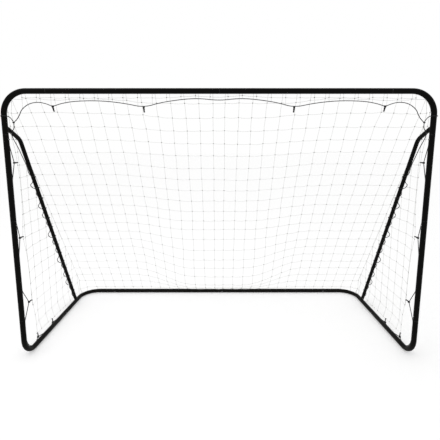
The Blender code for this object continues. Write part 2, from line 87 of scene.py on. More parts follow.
# Places of the axes and of the seams between tubes
POST_X = WIDTH / 2 - TUBE_RADIUS
BAR_Z = HEIGHT - TUBE_RADIUS
RAIL_Z = TUBE_RADIUS
AXIS_DEPTH = DEPTH - 2 * TUBE_RADIUS
ROPE_RADIUS = 0.003
WRAP_RADIUS = (TUBE_CORNER + GAP + ROPE_RADIUS) / math.cos(math.radians(15))
FRONT_Y = (WRAP_RADIUS + ROPE_RADIUS * math.cos(math.pi / 6) - TUBE_RADIUS - AXIS_DEPTH) / 2
REAR_Y = FRONT_Y + AXIS_DEPTH
BAR_SEAM_X = POST_X - 0.30
REAR_SEAM_X = POST_X - 0.30
TOP_SEAM_Z = BAR_Z - 0.291
BOTTOM_SEAM_Z = 0.306
MIDDLE_SEAM_Z = BOTTOM_SEAM_Z + (TOP_SEAM_Z - BOTTOM_SEAM_Z) * 0.556
RAIL_SEAM_Y = FRONT_Y + AXIS_DEPTH * 0.542

RIGHT = Vector((1, 0, 0))
BACK = Vector((0, 1, 0))
UP = Vector((0, 0, 1))
LEFT = -RIGHT
FORWARD = -BACK
DOWN = -UP
HANDS = {"left": -1, "right": 1}

# Each snap button's place on its tube's axis on the right, and its way out
SEATS = {
    "crossbar": (Vector((BAR_SEAM_X - HALF_PLUG, FRONT_Y, BAR_Z)), BACK),
    "rear_bar": (Vector((REAR_SEAM_X - HALF_PLUG, REAR_Y, RAIL_Z)), FORWARD),
    "upright_top": (Vector((POST_X, FRONT_Y, TOP_SEAM_Z - HALF_PLUG)), LEFT),
    "upright_middle": (Vector((POST_X, FRONT_Y, MIDDLE_SEAM_Z - HALF_PLUG)), LEFT),
    "upright_bottom": (Vector((POST_X, FRONT_Y, BOTTOM_SEAM_Z + HALF_PLUG)), LEFT),
    "ground_rail": (Vector((POST_X, RAIL_SEAM_Y + HALF_PLUG, RAIL_Z)), LEFT),
}
MIDDLE_SEATS = {
    "crossbar": (Vector((HALF_PLUG, FRONT_Y, BAR_Z)), BACK),
    "rear_bar": (Vector((HALF_PLUG, REAR_Y, RAIL_Z)), FORWARD),
}

BRACE_TOP = Vector((POST_X, FRONT_Y, BAR_Z - 0.237))
BRACE_KNEE = Vector((POST_X, FRONT_Y + 0.164, BAR_Z - 0.324))
BRACE_FOOT = Vector((POST_X, REAR_Y - 0.238, RAIL_Z))
BRACE_DOWN = (BRACE_KNEE - BRACE_TOP).normalized()
BRACE_FALL = (BRACE_FOOT - BRACE_KNEE).normalized()

# Roundness and fineness of the tubes
TUBE_SIDES = 48
BEND_STEP = math.radians(5)
NECK_STEPS = 4
HOLE_MARGIN = 0.008
HOLE_SIDES = 24
RIM_BEVEL = 0.00025
RIM_CORNER = math.radians(60)
SMOOTH_UNDER = math.radians(38)
MERGE_UNDER = 0.000005

# Snap buttons and screws
TURNED_SIDES = 32
PIN_RADIUS = 0.003
PIN_FILLET = 0.0004
DOME_FALL = 0.75
HOLE_RADIUS = 0.0034
BUTTON_PROUD = 0.003
FLANGE_RADIUS = 0.005
FLANGE_TOP = 0.0145
FLANGE_THICK = 0.001
SCREW_ALONG_STUB = 0.055
SCREW_HEAD = 0.0045
SCREW_SHANK = 0.002
SCREW_CROWN = 0.0025
SCREW_DEPTH = 0.008
SCREW_TIP = 0.002
# The head's outline as shares of its radius and crown, and the recess's length, width and depth
SCREW_DOME = [(0, 1), (0.35, 0.97), (0.70, 0.80), (0.92, 0.48), (1, 0.15), (1, 0)]
SCREW_RECESS = (0.0046, 0.0011, 0.0036)

# Ropes: the lay of three strands, and the routes, which are the CAD's but for the lacing
STRAND_PITCH = 0.019
STRAND_REACHES = (1.0, 0.93, 0.66, 0.93)
ROPE_STEP = 0.0023
ROPE_BEND_STEP = math.radians(9)
CROSSBAR_ROPE_BACK = 0.010
# The rope under the crossbar on the right: its share of POST_X across, and how far down it is
CROSSBAR_ROPE = [
    (0.945, 0.189), (0.931, 0.159), (0.920, 0.121), (0.884, 0.082), (0.841, 0.071), (0.804, 0.082),
    (0.773, 0.102), (0.739, 0.083), (0.671, 0.065), (0.549, 0.062), (0.439, 0.080), (0.350, 0.108),
    (0.272, 0.075), (0.169, 0.053), (0.091, 0.047), (0.0, 0.062),
]
# Which of those places carry a hook
CROSSBAR_HOOKS = [6, 11]
# The knot where the two ropes meet: inward, back and down from the top corner
KNOT = (0.057, 0.010, 0.210)
KNOT_REACH = 0.0042
KNOT_SIZE = 0.0060
END_KNOT_SIZE = 0.0050
# The lacing's wrap round the upright, this far down, and its way from there through the knot
WRAP_DROP = 0.167
WRAP_TURN = math.radians(270)
WRAP_STEPS = 27
LACING_LEAD = [
    (0.036, 0.003, 0.173), (0.049, 0.007, 0.191), KNOT, (0.050, 0.022, 0.233), (0.034, 0.045, 0.251),
]
# The side's rope: how far inward, where it starts and ends, and how it sits on its tubes
ROPE_INWARD = 0.006
SIDE_ROPE_X = POST_X - ROPE_INWARD
SIDE_ROPE_TOP = BAR_Z - 0.326
SIDE_ROPE_END = AXIS_DEPTH - 0.302
SIDE_ROPE_SEAT = math.sqrt((TUBE_CORNER + GAP + ROPE_RADIUS) ** 2 - ROPE_INWARD ** 2)
# Its hooks: how far back, and how high, on the upright as a share of the rope's top
HOOKS_ON_UPRIGHT = [(0.060, 0.900), (0.050, 0.565), (0.094, 0.248)]
HOOKS_ON_RAIL = [(0.178, 0.068), (0.420, 0.060)]
# How far from a hook it comes back to its tube, and the bends at the hook and at the tube
HOOK_SPAN = 0.12
HOOK_RUN_UP = 0.040
HOOK_BEND = 0.006
SEAT_BEND = 0.050
# The lacing down the brace: where it ends, its turns and its loops, no two of which are alike
LACING_END = 0.09
LACING_TURNS = 14
LACING_STEPS = 24
LACING_SKIP = 4
LACING_LOOP = 0.036
LOOP_UNEVEN = 0.45
LOOP_CHANGE = 2.3
LOOP_SLANT = 0.016
# Where the lacing hangs slack under the brace's knee: across, back and up
LACING_SLACK_RUN = [
    (1.474, 0.043, 1.693), (1.466, 0.112, 1.594), (1.466, 0.153, 1.527), (1.464, 0.202, 1.450),
    (1.462, 0.205, 1.404), (1.468, 0.252, 1.376),
]

# Hooks, moulded as a flat strap
HOOK_THICK = 0.0040
HOOK_WIDTH = 0.0115
HOOK_RING = 0.0060
HOOK_TAIL = 0.028
HOOK_CURL = 0.0042
HOOK_TAPER = 0.80
HOOK_TIP = 0.002
HOOK_TIP_TAPER = 0.75
# The way that a hook under the crossbar hangs
HOOK_HANG = Vector((0, 0.35, -1)).normalized()
HOOK_BEVEL = 0.0007
STRAP_CORNER = math.radians(50)

# Net: rows run down the slope, columns across the goal
NET_ROWS = 21
NET_HALF_COLUMNS = 15
NET_PITCH = 0.0995
NET_CENTRE = 0.042
NET_EDGE_X = 1.4968
NET_PLANE_X = 1.4978
# Its knots: how much thicker their twine is, and how far each is turned on from the last
KNOT_BULK = 1.25
BACK_SPIN = 1.3
SIDE_SPIN = 1.7
# How far the net's ends reach into the corner bends, round the rear one and out along the top one
REAR_TURN = math.radians(65)
TOP_REACH = TOP_BEND * 0.97
# From the crossbar to the first row, and from the last row to the rear bar
FIRST_ROW = 0.055
LAST_ROW = 0.075
SLOPE = Vector((0, AXIS_DEPTH, RAIL_Z - BAR_Z)).normalized()
SLOPE_LENGTH = math.hypot(AXIS_DEPTH, BAR_Z - RAIL_Z)
ROW_PITCH = (SLOPE_LENGTH - FIRST_ROW - LAST_ROW) / (NET_ROWS - 1)
# The middle of the net hangs slack: places back and up of its rows, from the top one down
SLACK_ROWS = [
    (0.082, 1.908), (0.142, 1.814), (0.198, 1.722), (0.252, 1.625), (0.303, 1.531), (0.347, 1.429),
    (0.396, 1.333), (0.452, 1.235), (0.501, 1.138), (0.552, 1.036), (0.600, 0.939), (0.651, 0.845),
    (0.697, 0.737), (0.715, 0.629), (0.740, 0.524), (0.782, 0.423), (0.826, 0.317), (0.867, 0.215),
    (0.950, 0.150), (1.045, 0.095), (1.135, 0.052),
]
# The slack is full this near to the middle, and gone this far from it
SLACK_WITHIN = 0.25
SLACK_GONE = 0.85
# The hooks pull the nearest knots to themselves, most of all those of the row that they hold
HOOK_PULL = 0.09
HOOKED_ROW = 1
HOOKED_HOLD = 0.9
OTHER_HOLD = 0.3
# How far a string droops between two knots
ROW_DROOP = 0.004
FLAP_DROOP = 0.003
SIDE_ROW_DROOP = 0.003
SIDE_COLUMN_DROOP = 0.002
# The side panels' edge string: where it is held at its top and its end, and its pull inward
# between two hooks, as a share of their distance
SIDE_TOP_BACK = 0.006
SIDE_TOP_DROP = 0.090
SIDE_NEXT_BACK = 0.050
SIDE_NEXT_RISE = 0.02
SIDE_END_RISE = 0.014
SIDE_PULL = 0.05
# Which of its held places is the upright's lowest hook, after two above the hooks
LOWEST_HOOK = 1 + len(HOOKS_ON_UPRIGHT)
# How far back and up from that string the knots start and end to move out to the panel's plane
SIDE_OUT_BACK = (0.0, 0.12)
SIDE_OUT_UP = (-0.02, 0.10)
# The least length of a string's first, last and lowest span
SIDE_FIRST_GAP = 0.035
SIDE_LAST_GAP = 0.02
SIDE_SHORTEST = 0.01
# The turns of the net's strings round the bars, in degrees: straight back is 0, and up is 90
TURN_STEP = 10
HEAD_TURN = (78, -25)
FOOT_TURN = (112, 62)
FLAP_TURN = (78, -52)
# The flap under the crossbar: its strings beside the columns, and where its row of knots hangs
FLAP_SHIFT = 0.019
FLAP_BACK = 0.013
FLAP_OVER_ROPE = 0.018
FLAP_DROP = 0.042
FLAP_END = 0.10
# The noise that moves the knots a little: cells per metre, and where each axis reads it
STRAY_SCALE = 4.1
STRAY_SHIFTS = [(9.3, -1.5, -7.9), (0, 0, 0), (-5.1, 3.7, 8.2)]
# The strings and the sides read it at places stretched by this much
STRING_STRAY = 3.7
SIDE_STRAY = 1.3

# Colours of wear and dirt
DUST = (0.022, 0.020, 0.017)
SOIL = (0.50, 0.48, 0.43)
WORN_STEEL = (0.080, 0.080, 0.083)

# How much the floor adds to itself for the camera, so that only its shadow reads as grey
FLOOR_GLOW = 0.29
FLOOR_RADIUS = 60.0
FLOOR_DROP = 0.0006
# How bright the studio's walls are for the goal, where 1 is white
STUDIO_LEVEL = 0.80
KEY_PLACE = Vector((-2.4, -2.6, 5.2))
KEY_AIM = Vector((0, 0, 0.8))
KEY_SIZE = 3.0
KEY_POWER = 35

# The photograph's view: how far in front of the mouth and how high the eye is, and its lens
EYE_AHEAD = 2.366
EYE_HEIGHT = 1.620
EYE_DOWN = math.radians(8.209)
EYE_LENS = 27.476
EYE_SHIFT = (0.0024, -0.0614)


def size_property(name, description, metres):
    return bpy.props.FloatProperty(name=name, description=description, default=metres, unit="LENGTH")


def colour_property(name, description, colour):
    return bpy.props.FloatVectorProperty(
        name=name, description=description, subtype="COLOR", default=colour)


class GoalSizes(bpy.types.PropertyGroup):
    """Sizes of the parts that a user would want to change."""

    twine: size_property("Twine", "Thickness of the net's twine", 0.0019)
    knot: size_property("Knot", "Width of the net's knots", 0.0080)
    sway: size_property("Sway", "How far the net strays from its even grid", 0.006)
    peel: size_property("Orange peel", "Width of the bumps in the powder coat", 0.0018)


class GoalColours(bpy.types.PropertyGroup):
    """Colours of the finishes."""

    frame: colour_property("Frame", "Powder coat", (0.0018, 0.0017, 0.0014))
    buttons: colour_property("Buttons", "Zinc on the snap buttons", (0.50, 0.50, 0.52))
    screws: colour_property("Screws", "Black steel of the screws", (0.035, 0.035, 0.037))
    twine: colour_property("Twine", "Net twine", (0.74, 0.74, 0.72))
    # The knots' grey is painted shade: darker than the twine, standing in for the shade inside each
    # knot's tight turns
    knots: colour_property("Knots", "Net knots", (0.43, 0.43, 0.42))
    rope: colour_property("Rope", "Border and lacing rope", (0.014, 0.014, 0.015))
    hooks: colour_property("Hooks", "Net hooks", (0.006, 0.006, 0.0065))
    floor: colour_property("Floor", "Studio floor", (0.86, 0.86, 0.86))


# Node trees


class Signal:
    """A socket that Python arithmetic joins with Math nodes."""

    def __init__(self, finish, socket):
        self.finish = finish
        self.socket = socket

    def math(self, operation, *others):
        return self.finish.add("Math", {"operation": operation}, [self, *others])

    def __add__(self, other):
        return self.math("ADD", other)

    __radd__ = __add__

    def __mul__(self, other):
        return self.math("MULTIPLY", other)

    __rmul__ = __mul__

    def spread(self, low, high):
        """0 at low, 1 at high, and smooth between."""
        settings = {"interpolation_type": "SMOOTHSTEP"}
        return self.finish.add("MapRange", settings, [self, low, high, 0.0, 1.0])


class Finish:
    """One material and the nodes that make it."""

    def __init__(self, name, shader_name="Principled BSDF", tree=None):
        self.material = None
        if tree is None:
            self.material = bpy.data.materials.new(name)
            self.material.use_nodes = True
            tree = self.material.node_tree
        self.tree = tree
        self.shader = tree.nodes.get(shader_name)

    def connect(self, socket, value):
        if isinstance(value, Signal):
            self.tree.links.new(value.socket, socket)
        elif hasattr(socket.default_value, "__len__") and len(socket.default_value) == 4:
            socket.default_value = (*value[:3], 1.0)
        else:
            socket.default_value = value

    def add(self, kind, settings=None, inputs=None, output=0):
        """A node with its settings and its inputs, a list by place or a dict by name."""
        node = self.tree.nodes.new("ShaderNode" + kind)
        for key, value in (settings or {}).items():
            setattr(node, key, value)
        named = inputs.items() if isinstance(inputs, dict) else enumerate(inputs or [])
        for key, value in named:
            self.connect(node.inputs[key], value)
        return Signal(self, node.outputs[output])

    def place(self):
        return self.add("TexCoord", output="Object")

    def seen(self):
        """1 where the camera looks straight on, or by a mirror or through glass."""
        paths = self.tree.nodes.new("ShaderNodeLightPath")
        seen = Signal(self, paths.outputs["Is Camera Ray"])
        for way in ("Is Glossy Ray", "Is Transmission Ray"):
            seen = seen.math("MAXIMUM", Signal(self, paths.outputs[way]))
        return seen

    def painted(self, name):
        """The value that the mesh's points carry under a name."""
        return self.add("Attribute", {"attribute_name": name}, output="Fac")

    def grain(self, scale, detail=3.0, stretch=(1, 1, 1), roughness=0.5, surface=None):
        """Noise from 0 to 1 in cells 1 / scale metres wide, in space or along a surface."""
        where = self.add("Mapping", None, {"Vector": surface or self.place(), "Scale": stretch})
        inputs = {"Vector": where, "Scale": scale, "Detail": detail, "Roughness": roughness}
        return self.add("TexNoise", None, inputs)

    def mix(self, factor, first, second):
        """A colour between two colours."""
        settings = {"data_type": "RGBA", "clamp_factor": True}
        return self.add("Mix", settings, {0: factor, 6: first, 7: second}, output=2)

    def bump(self, height, depth):
        """Bumps over a height from 0 to 1 that is depth metres tall."""
        return self.add("Bump", None, {"Height": height, "Distance": depth})

    def set(self, **sockets):
        """Fill the shader's sockets, named as in the panel but in small letters."""
        for key, value in sockets.items():
            name = key.replace("_", " ").title().replace("Ior", "IOR")
            self.connect(self.shader.inputs[name], value)
        return self.material


def tone(colour, factor):
    """A colour made lighter or darker."""
    return tuple(min(1.0, channel * factor) for channel in colour)


def powder_coat(colour, peel):
    """Black powder coat: fine orange peel, a little dust low down, worn lips at the seams."""
    coat = Finish("powder_coat")
    height = coat.add("SeparateXYZ", None, [coat.place()], output="Z")
    cloud = coat.grain(9.0, 4.0)
    dust = height.spread(0.22, 0.0) * coat.grain(60.0, 5.0, roughness=0.7).spread(0.40, 0.72) * 0.55
    rub = coat.grain(38.0, 4.0, roughness=0.65).spread(0.56, 0.74)
    chipped = coat.painted("seam") * coat.grain(420.0, 3.0, roughness=0.6).spread(0.50, 0.60)
    black = coat.mix(cloud, tone(colour, 0.8), tone(colour, 1.35))
    worn = coat.mix(chipped, coat.mix(dust, black, DUST), WORN_STEEL)
    skin = coat.grain(1 / peel, 2.0)
    rough = 0.36 + 0.10 * cloud + 0.16 * rub + 0.25 * dust
    return coat.set(base_color=worn, roughness=rough, specular_ior_level=0.05,
                    metallic=chipped * 0.8, normal=coat.bump(skin, 0.00006))


def turned_steel(name, colour):
    """Turned steel, zinc-plated or blackened, with fine lines and a clouded sheen."""
    steel = Finish(name)
    cloud = steel.grain(500.0, 3.0)
    scratch = steel.grain(900.0, 2.0, stretch=(1, 1, 9))
    tint = steel.mix(cloud, tone(colour, 0.78), tone(colour, 1.12))
    return steel.set(base_color=tint, metallic=1.0, roughness=0.22 + 0.22 * cloud,
                     normal=steel.bump(scratch, 0.00002))


def net_twine(colour, knot_shade_colour):
    """Twisted white twine, with painted shade where it is knotted: the knots take a darker grey."""
    twine = Finish("net_twine")
    knotted = twine.painted("knot")
    soil = twine.grain(3.0, 3.0).spread(0.45, 0.75)
    fibre = twine.grain(1400.0, 3.0, roughness=0.65)
    pale = twine.mix(fibre, tone(colour, 0.86), tone(colour, 1.10))
    used = twine.mix(soil * 0.25, pale, SOIL)
    # Painted shade: the knots take a darker grey in place of the shade within their tight turns
    knots = twine.mix(fibre, tone(knot_shade_colour, 0.7), tone(knot_shade_colour, 1.3))
    return twine.set(base_color=twine.mix(knotted, used, knots), roughness=0.80 + 0.12 * fibre,
                     specular_ior_level=0.3, normal=twine.bump(fibre, 0.00025))


def laid_rope_finish(colour):
    """Dark laid fibre with paler rubbed crowns."""
    rope = Finish("border_rope")
    surface = rope.add("TexCoord", output="UV")
    # The fibres' cells, by the metre along the strand and by its turn round
    fibre = rope.grain(1.0, 4.0, (160.0, 24.0, 1.0), 0.7, surface)
    rubbed = rope.grain(24.0, 3.0).spread(0.50, 0.72)
    dark = rope.mix(fibre, tone(colour, 0.65), tone(colour, 1.7))
    pale = rope.mix(rubbed * 0.5, dark, tone(colour, 2.6))
    return rope.set(base_color=pale, roughness=0.72 + 0.2 * fibre,
                    specular_ior_level=0.3, normal=rope.bump(fibre, 0.0002))


def moulded_plastic(colour):
    """Black moulded plastic with a fine spark-eroded grain."""
    plastic = Finish("hook_plastic")
    grain = plastic.grain(1600.0, 2.0)
    cloud = plastic.grain(70.0, 3.0)
    tint = plastic.mix(cloud, tone(colour, 0.8), tone(colour, 1.5))
    return plastic.set(base_color=tint, roughness=0.36 + 0.18 * cloud,
                       specular_ior_level=0.25, normal=plastic.bump(grain, 0.00003))


def studio_floor(colour):
    """A pale floor that reads as white to the camera and keeps the goal's shadow."""
    floor = Finish("studio_floor")
    speckle = floor.grain(240.0, 2.0)
    pale = floor.mix(speckle, tone(colour, 0.985), tone(colour, 1.01))
    glow = floor.mix(floor.seen(), (0, 0, 0), (1, 1, 1))
    return floor.set(base_color=pale, roughness=0.9, specular_ior_level=0.1,
                     emission_color=glow, emission_strength=FLOOR_GLOW)


# Shapes


def link(name, data):
    """A new object at the origin, in the scene."""
    thing = bpy.data.objects.new(name, data)
    bpy.context.scene.collection.objects.link(thing)
    return thing


def formed(name, shape):
    """A new object whose mesh is the given shape."""
    data = bpy.data.meshes.new(name)
    shape.to_mesh(data)
    shape.free()
    return link(name, data)


def dress(thing, material, node, body=ROOT):
    """Give a piece its finish, and put it in place of its CAD node."""
    thing.data.materials.append(material)
    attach(thing, body)
    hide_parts(node)


def frozen(thing):
    """The object's shape with its modifiers or its bevelled curve made a plain mesh."""
    bpy.context.view_layer.update()
    graph = bpy.context.evaluated_depsgraph_get()
    data = bpy.data.meshes.new_from_object(thing.evaluated_get(graph))
    name = thing.name
    bpy.data.objects.remove(thing)
    return link(name, data)


def smooth(thing):
    """Smooth shading that keeps sharp edges."""
    thing.data.shade_smooth()
    thing.data.set_sharp_from_angle(angle=SMOOTH_UNDER)


def closed_up(shape):
    """Merge the points of a shape that lie on each other, and turn its faces outward."""
    bmesh.ops.remove_doubles(shape, verts=shape.verts, dist=MERGE_UNDER)
    bmesh.ops.recalc_face_normals(shape, faces=shape.faces)


def on_side(shape, hand):
    """Turn a right-hand shape into the one for the given side, with its faces outward."""
    if hand < 0:
        bmesh.ops.scale(shape, vec=(-1, 1, 1), verts=shape.verts)
    closed_up(shape)


def mirrored(point, hand):
    """The point on the given side, from its place on the right."""
    return Vector((point[0] * hand, point[1], point[2]))


def reflected(path, hand):
    """The path on the given side, from its places on the right."""
    return [mirrored(place, hand) for place in path]


def standing(place, way, up="Y"):
    """The matrix that stands a shape at a place, with its Z along a way."""
    return Matrix.Translation(place) @ way.to_track_quat("Z", up).to_matrix().to_4x4()


def arc(steps, first=0.0, last=2 * math.pi):
    """Angles from first to last in even steps, with both ends."""
    return [first + (last - first) * step / steps for step in range(steps + 1)]


def trefoil(size, rise, steps):
    """A loop round the origin that crosses itself three times, with its end on its start."""
    return [Vector((math.sin(angle) + 2 * math.sin(2 * angle),
                    math.cos(angle) - 2 * math.cos(2 * angle),
                    rise * math.sin(3 * angle))) * size for angle in arc(steps)]


def ring(centre, across, up, reach, angles):
    """Places round a centre at the given angles, from across towards up."""
    return [centre + (across * math.cos(angle) + up * math.sin(angle)) * reach for angle in angles]


class TubeRun:
    """A skin grown from its first ring by straight lengths, bends and necks."""

    def __init__(self, start, way, radius):
        self.shape = bmesh.new()
        self.seam = self.shape.verts.layers.float.new("seam")
        self.place = Vector(start)
        self.way = Vector(way)
        self.radius = radius
        self.first_ring()
        self.rim = list(self.shape.edges)

    def first_ring(self):
        bmesh.ops.create_circle(self.shape, segments=TUBE_SIDES, radius=self.radius,
                                matrix=standing(self.place, self.way))

    def rim_verts(self):
        return list({vert for edge in self.rim for vert in edge.verts})

    def mark_seam(self):
        """The lip here is where two tubes meet and the coat wears."""
        for vert in self.rim_verts():
            vert[self.seam] = 1.0
        return self

    def step(self, length, radius=None):
        """Grow the rim along its way, to another radius where one is given."""
        grown = bmesh.ops.extrude_edge_only(self.shape, edges=self.rim)["geom"]
        self.rim = [part for part in grown if isinstance(part, bmesh.types.BMEdge)]
        verts = self.rim_verts()
        bmesh.ops.translate(self.shape, verts=verts, vec=self.way * length)
        self.place = self.place + self.way * length
        if radius is not None:
            bmesh.ops.scale(self.shape, verts=verts, vec=(radius / self.radius,) * 3,
                            space=Matrix.Translation(-self.place))
            self.radius = radius
        for vert in verts:
            vert[self.seam] = 0.0
        return self

    def straight(self, length, holes=()):
        """A straight length with rings round the places of its holes."""
        marks = {0.0, length}
        for hole in holes:
            marks |= {hole - HOLE_MARGIN, hole + HOLE_MARGIN}
        marks = sorted(marks)
        for near, far in zip(marks, marks[1:]):
            self.step(far - near)
        return self

    def bend(self, toward, radius, angle):
        """A bend towards a direction at right angles to the tube."""
        axis = self.way.cross(toward)
        centre = self.place + toward * radius
        steps = max(3, round(angle / BEND_STEP))
        grown = bmesh.ops.spin(self.shape, geom=self.rim, cent=centre, axis=axis,
                               angle=angle, steps=steps, use_merge=False)
        self.rim = [part for part in grown["geom_last"] if isinstance(part, bmesh.types.BMEdge)]
        turn = Matrix.Rotation(angle, 3, axis)
        self.place = centre + turn @ (self.place - centre)
        self.way = turn @ self.way
        return self

    def neck(self, radius):
        """A short swaged shoulder to another radius."""
        start = self.radius
        for step in range(1, NECK_STEPS + 1):
            share = (1 - math.cos(math.pi * step / NECK_STEPS)) / 2
            self.step(SHOULDER / NECK_STEPS, start + (radius - start) * share)
        return self

    def socket(self, length, holes=()):
        """A length that starts with an open end: a worn lip, then the hole for a snap button."""
        self.mark_seam().step(LIP)
        return self.straight(length - LIP, [hole - LIP for hole in (HALF_PLUG - GAP, *holes)])

    def two_sockets(self, length):
        """A length with an open end and its hole at both ends."""
        return self.socket(length - LIP, [length - HALF_PLUG + GAP]).step(LIP).mark_seam()

    def plug(self):
        """A reduced end that carries a snap button at its middle."""
        return self.straight(PLUG_LENGTH, [HALF_PLUG])


class StrapRun(TubeRun):
    """A flat moulded strap, wide along one direction, grown like a tube."""

    def __init__(self, start, way, across, width, thick):
        self.across = across * width / 2
        self.edge = across.cross(way).normalized() * thick / 2
        super().__init__(start, way, 1.0)

    def first_ring(self):
        corners = [self.across + self.edge, self.edge - self.across,
                   -self.across - self.edge, self.across - self.edge]
        verts = [self.shape.verts.new(self.place + corner) for corner in corners]
        for near, far in zip(verts, verts[1:] + verts[:1]):
            self.shape.edges.new((near, far))

    def narrowed(self, factor):
        """The last ring, and so what follows it, made narrower across."""
        flat = self.across.normalized()
        turn = flat.to_track_quat("X", "Z").to_matrix().to_4x4()
        bmesh.ops.scale(self.shape, verts=self.rim_verts(), vec=(factor, 1, 1),
                        space=turn.inverted() @ Matrix.Translation(-self.place))
        return self

    def closed(self, bevel):
        """Both ends filled, and every sharp edge rounded."""
        edges = self.shape.edges
        bmesh.ops.holes_fill(self.shape, edges=[edge for edge in edges if edge.is_boundary])
        bmesh.ops.recalc_face_normals(self.shape, faces=self.shape.faces)
        sharp = [edge for edge in edges if edge.calc_face_angle(0) > STRAP_CORNER]
        bmesh.ops.bevel(self.shape, geom=sharp, offset=bevel, affect="EDGES", segments=2,
                        profile=0.5, material=-1)
        return self.shape


def add_rod(shape, start, way, length, radius, sides):
    """Add a round bar to a shape, from start along way."""
    bmesh.ops.create_cone(shape, cap_ends=True, segments=sides, radius1=radius, radius2=radius,
                          depth=length, matrix=standing(start + way * length / 2, way))


def cut_out(thing, shape, overlapping=False):
    """The object without a shape, whose own parts may be overlapping."""
    tool = formed("tool", shape)
    cut = thing.modifiers.new("cut", "BOOLEAN")
    cut.operation = "DIFFERENCE"
    cut.solver = "EXACT"
    cut.use_self = overlapping
    cut.object = tool
    done = frozen(thing)
    bpy.data.objects.remove(tool)
    return done


def drilled(thing, holes):
    """Cut round holes, each a place on the tube's axis and the way out of it."""
    shape = bmesh.new()
    for place, outward in holes:
        start = place + outward * TUBE_RADIUS / 2
        add_rod(shape, start, outward, TUBE_RADIUS, HOLE_RADIUS, HOLE_SIDES)
    return cut_out(thing, shape)


def finish_tube(run, node, hand, material, holes=()):
    """The wall, its rounded lips and its holes, for a tube's skin on one side."""
    on_side(run.shape, hand)
    thing = formed("tube_" + node, run.shape)
    wall = thing.modifiers.new("wall", "SOLIDIFY")
    wall.thickness = WALL
    wall.offset = -1
    wall.use_even_offset = True
    lips = thing.modifiers.new("lips", "BEVEL")
    lips.width = RIM_BEVEL
    lips.segments = 2
    lips.limit_method = "ANGLE"
    lips.angle_limit = RIM_CORNER
    holes = [(mirrored(place, hand), mirrored(way, hand)) for place, way in holes]
    thing = drilled(thing, holes) if holes else frozen(thing)
    smooth(thing)
    dress(thing, material, node)
    return thing


def weld_bead(foot, way, tube_axis):
    """The bead of weld where a stub leaves a tube at its foot, as an object."""
    across = way.cross(tube_axis).normalized()
    along = across.cross(way).normalized()
    flat_way = way - tube_axis * way.dot(tube_axis)
    square = flat_way.length_squared
    path = []
    for spoke in ring(Vector(), across, along, STUB_RADIUS, arc(BEAD_STEPS)[:-1]):
        # The stub's line leaves the tube where its distance from the tube's axis is the radius
        flat_spoke = spoke - tube_axis * spoke.dot(tube_axis)
        half = flat_spoke.dot(flat_way)
        rest = flat_spoke.length_squared - TUBE_RADIUS ** 2
        path.append(foot + spoke + way * (math.sqrt(half * half - square * rest) - half) / square)
    ripple = [1.0 + BEAD_RIPPLE * math.sin(BEAD_RIPPLE_TURN * step) for step in range(BEAD_STEPS)]
    return swept("bead", [path], BEAD_RADIUS, 8, closed=True, widths=ripple)


def add_stub(thing, foot, way, tube_axis, hand):
    """Weld the stub that carries a brace, given on the right, to a finished tube."""
    shape = bmesh.new()
    add_rod(shape, foot, way, TUBE_RADIUS + STUB_REACH, STUB_RADIUS, TUBE_SIDES)
    bead = weld_bead(foot, way, tube_axis)
    shape.from_mesh(bead.data)
    on_side(shape, hand)
    shape.from_mesh(thing.data)
    shape.to_mesh(thing.data)
    shape.free()
    bpy.data.objects.remove(bead)
    smooth(thing)


def sealed(thing):
    """Join a cord's end caps to its sides, with every face outward."""
    shape = bmesh.new()
    shape.from_mesh(thing.data)
    closed_up(shape)
    shape.to_mesh(thing.data)
    shape.free()
    thing.data.shade_smooth()


def new_curve(name):
    """The data of a curve in space whose cords get closed ends."""
    data = bpy.data.curves.new(name, "CURVE")
    data.dimensions = "3D"
    data.use_fill_caps = True
    return data


def add_line(data, path, closed=False):
    """A line through the places of a path, in a curve. Returns its points."""
    line = data.splines.new("POLY")
    line.points.add(len(path) - 1)
    line.use_cyclic_u = closed
    for point, place in zip(line.points, path):
        point.co = (*place, 1)
    return line.points


def swept(name, paths, radius, sides, closed=False, widths=None):
    """Round cords along one or more paths, as one mesh object."""
    data = new_curve(name)
    data.bevel_depth = radius
    data.bevel_resolution = (sides - 4) // 2
    for path in paths:
        points = add_line(data, path, closed)
        for point, width in zip(points, widths or []):
            point.radius = width
    thing = frozen(link(name, data))
    sealed(thing)
    return thing


def bent_path(corners, bends):
    """A polyline through corners, each rounded to its own radius."""
    path = [corners[0]]
    for before, corner, after, radius in zip(corners, corners[1:], corners[2:], bends):
        arm_in = (before - corner).normalized()
        arm_out = (after - corner).normalized()
        turn = math.pi - arm_in.angle(arm_out)
        centre = corner + (arm_in + arm_out).normalized() * radius / math.cos(turn / 2)
        spoke = corner + arm_in * radius * math.tan(turn / 2) - centre
        axis = spoke.cross(-arm_in)
        for angle in arc(max(2, round(turn / ROPE_BEND_STEP)), 0, turn):
            path.append(centre + Matrix.Rotation(angle, 3, axis) @ spoke)
    return [*path, corners[-1]]


def rounded(points, rounds=3):
    """Cut the corners of an open polyline until it reads as a smooth line."""
    for _ in range(rounds):
        cut = [points[0]]
        for near, far in zip(points, points[1:]):
            cut += [near.lerp(far, 0.25), near.lerp(far, 0.75)]
        points = [*cut, points[-1]]
    return points


def even_steps(points, step):
    """Points a steady step apart along a polyline."""
    lengths = [0.0]
    for near, far in zip(points, points[1:]):
        lengths.append(lengths[-1] + (far - near).length)
    count = max(2, round(lengths[-1] / step))
    placed = []
    span = 0
    for index in range(count + 1):
        along = lengths[-1] * index / count
        while span < len(points) - 2 and lengths[span + 1] < along:
            span += 1
        part = (along - lengths[span]) / max(1e-9, lengths[span + 1] - lengths[span])
        placed.append(points[span].lerp(points[span + 1], part))
    return placed


# Frame


def clearance(way, axis):
    """How far from a tube's axis the brace's square end stops to clear the tube's wall."""
    lean = abs(way.dot(axis))
    return (TUBE_CORNER + GAP + BRACE_RADIUS * lean) / math.sqrt(1 - lean ** 2)


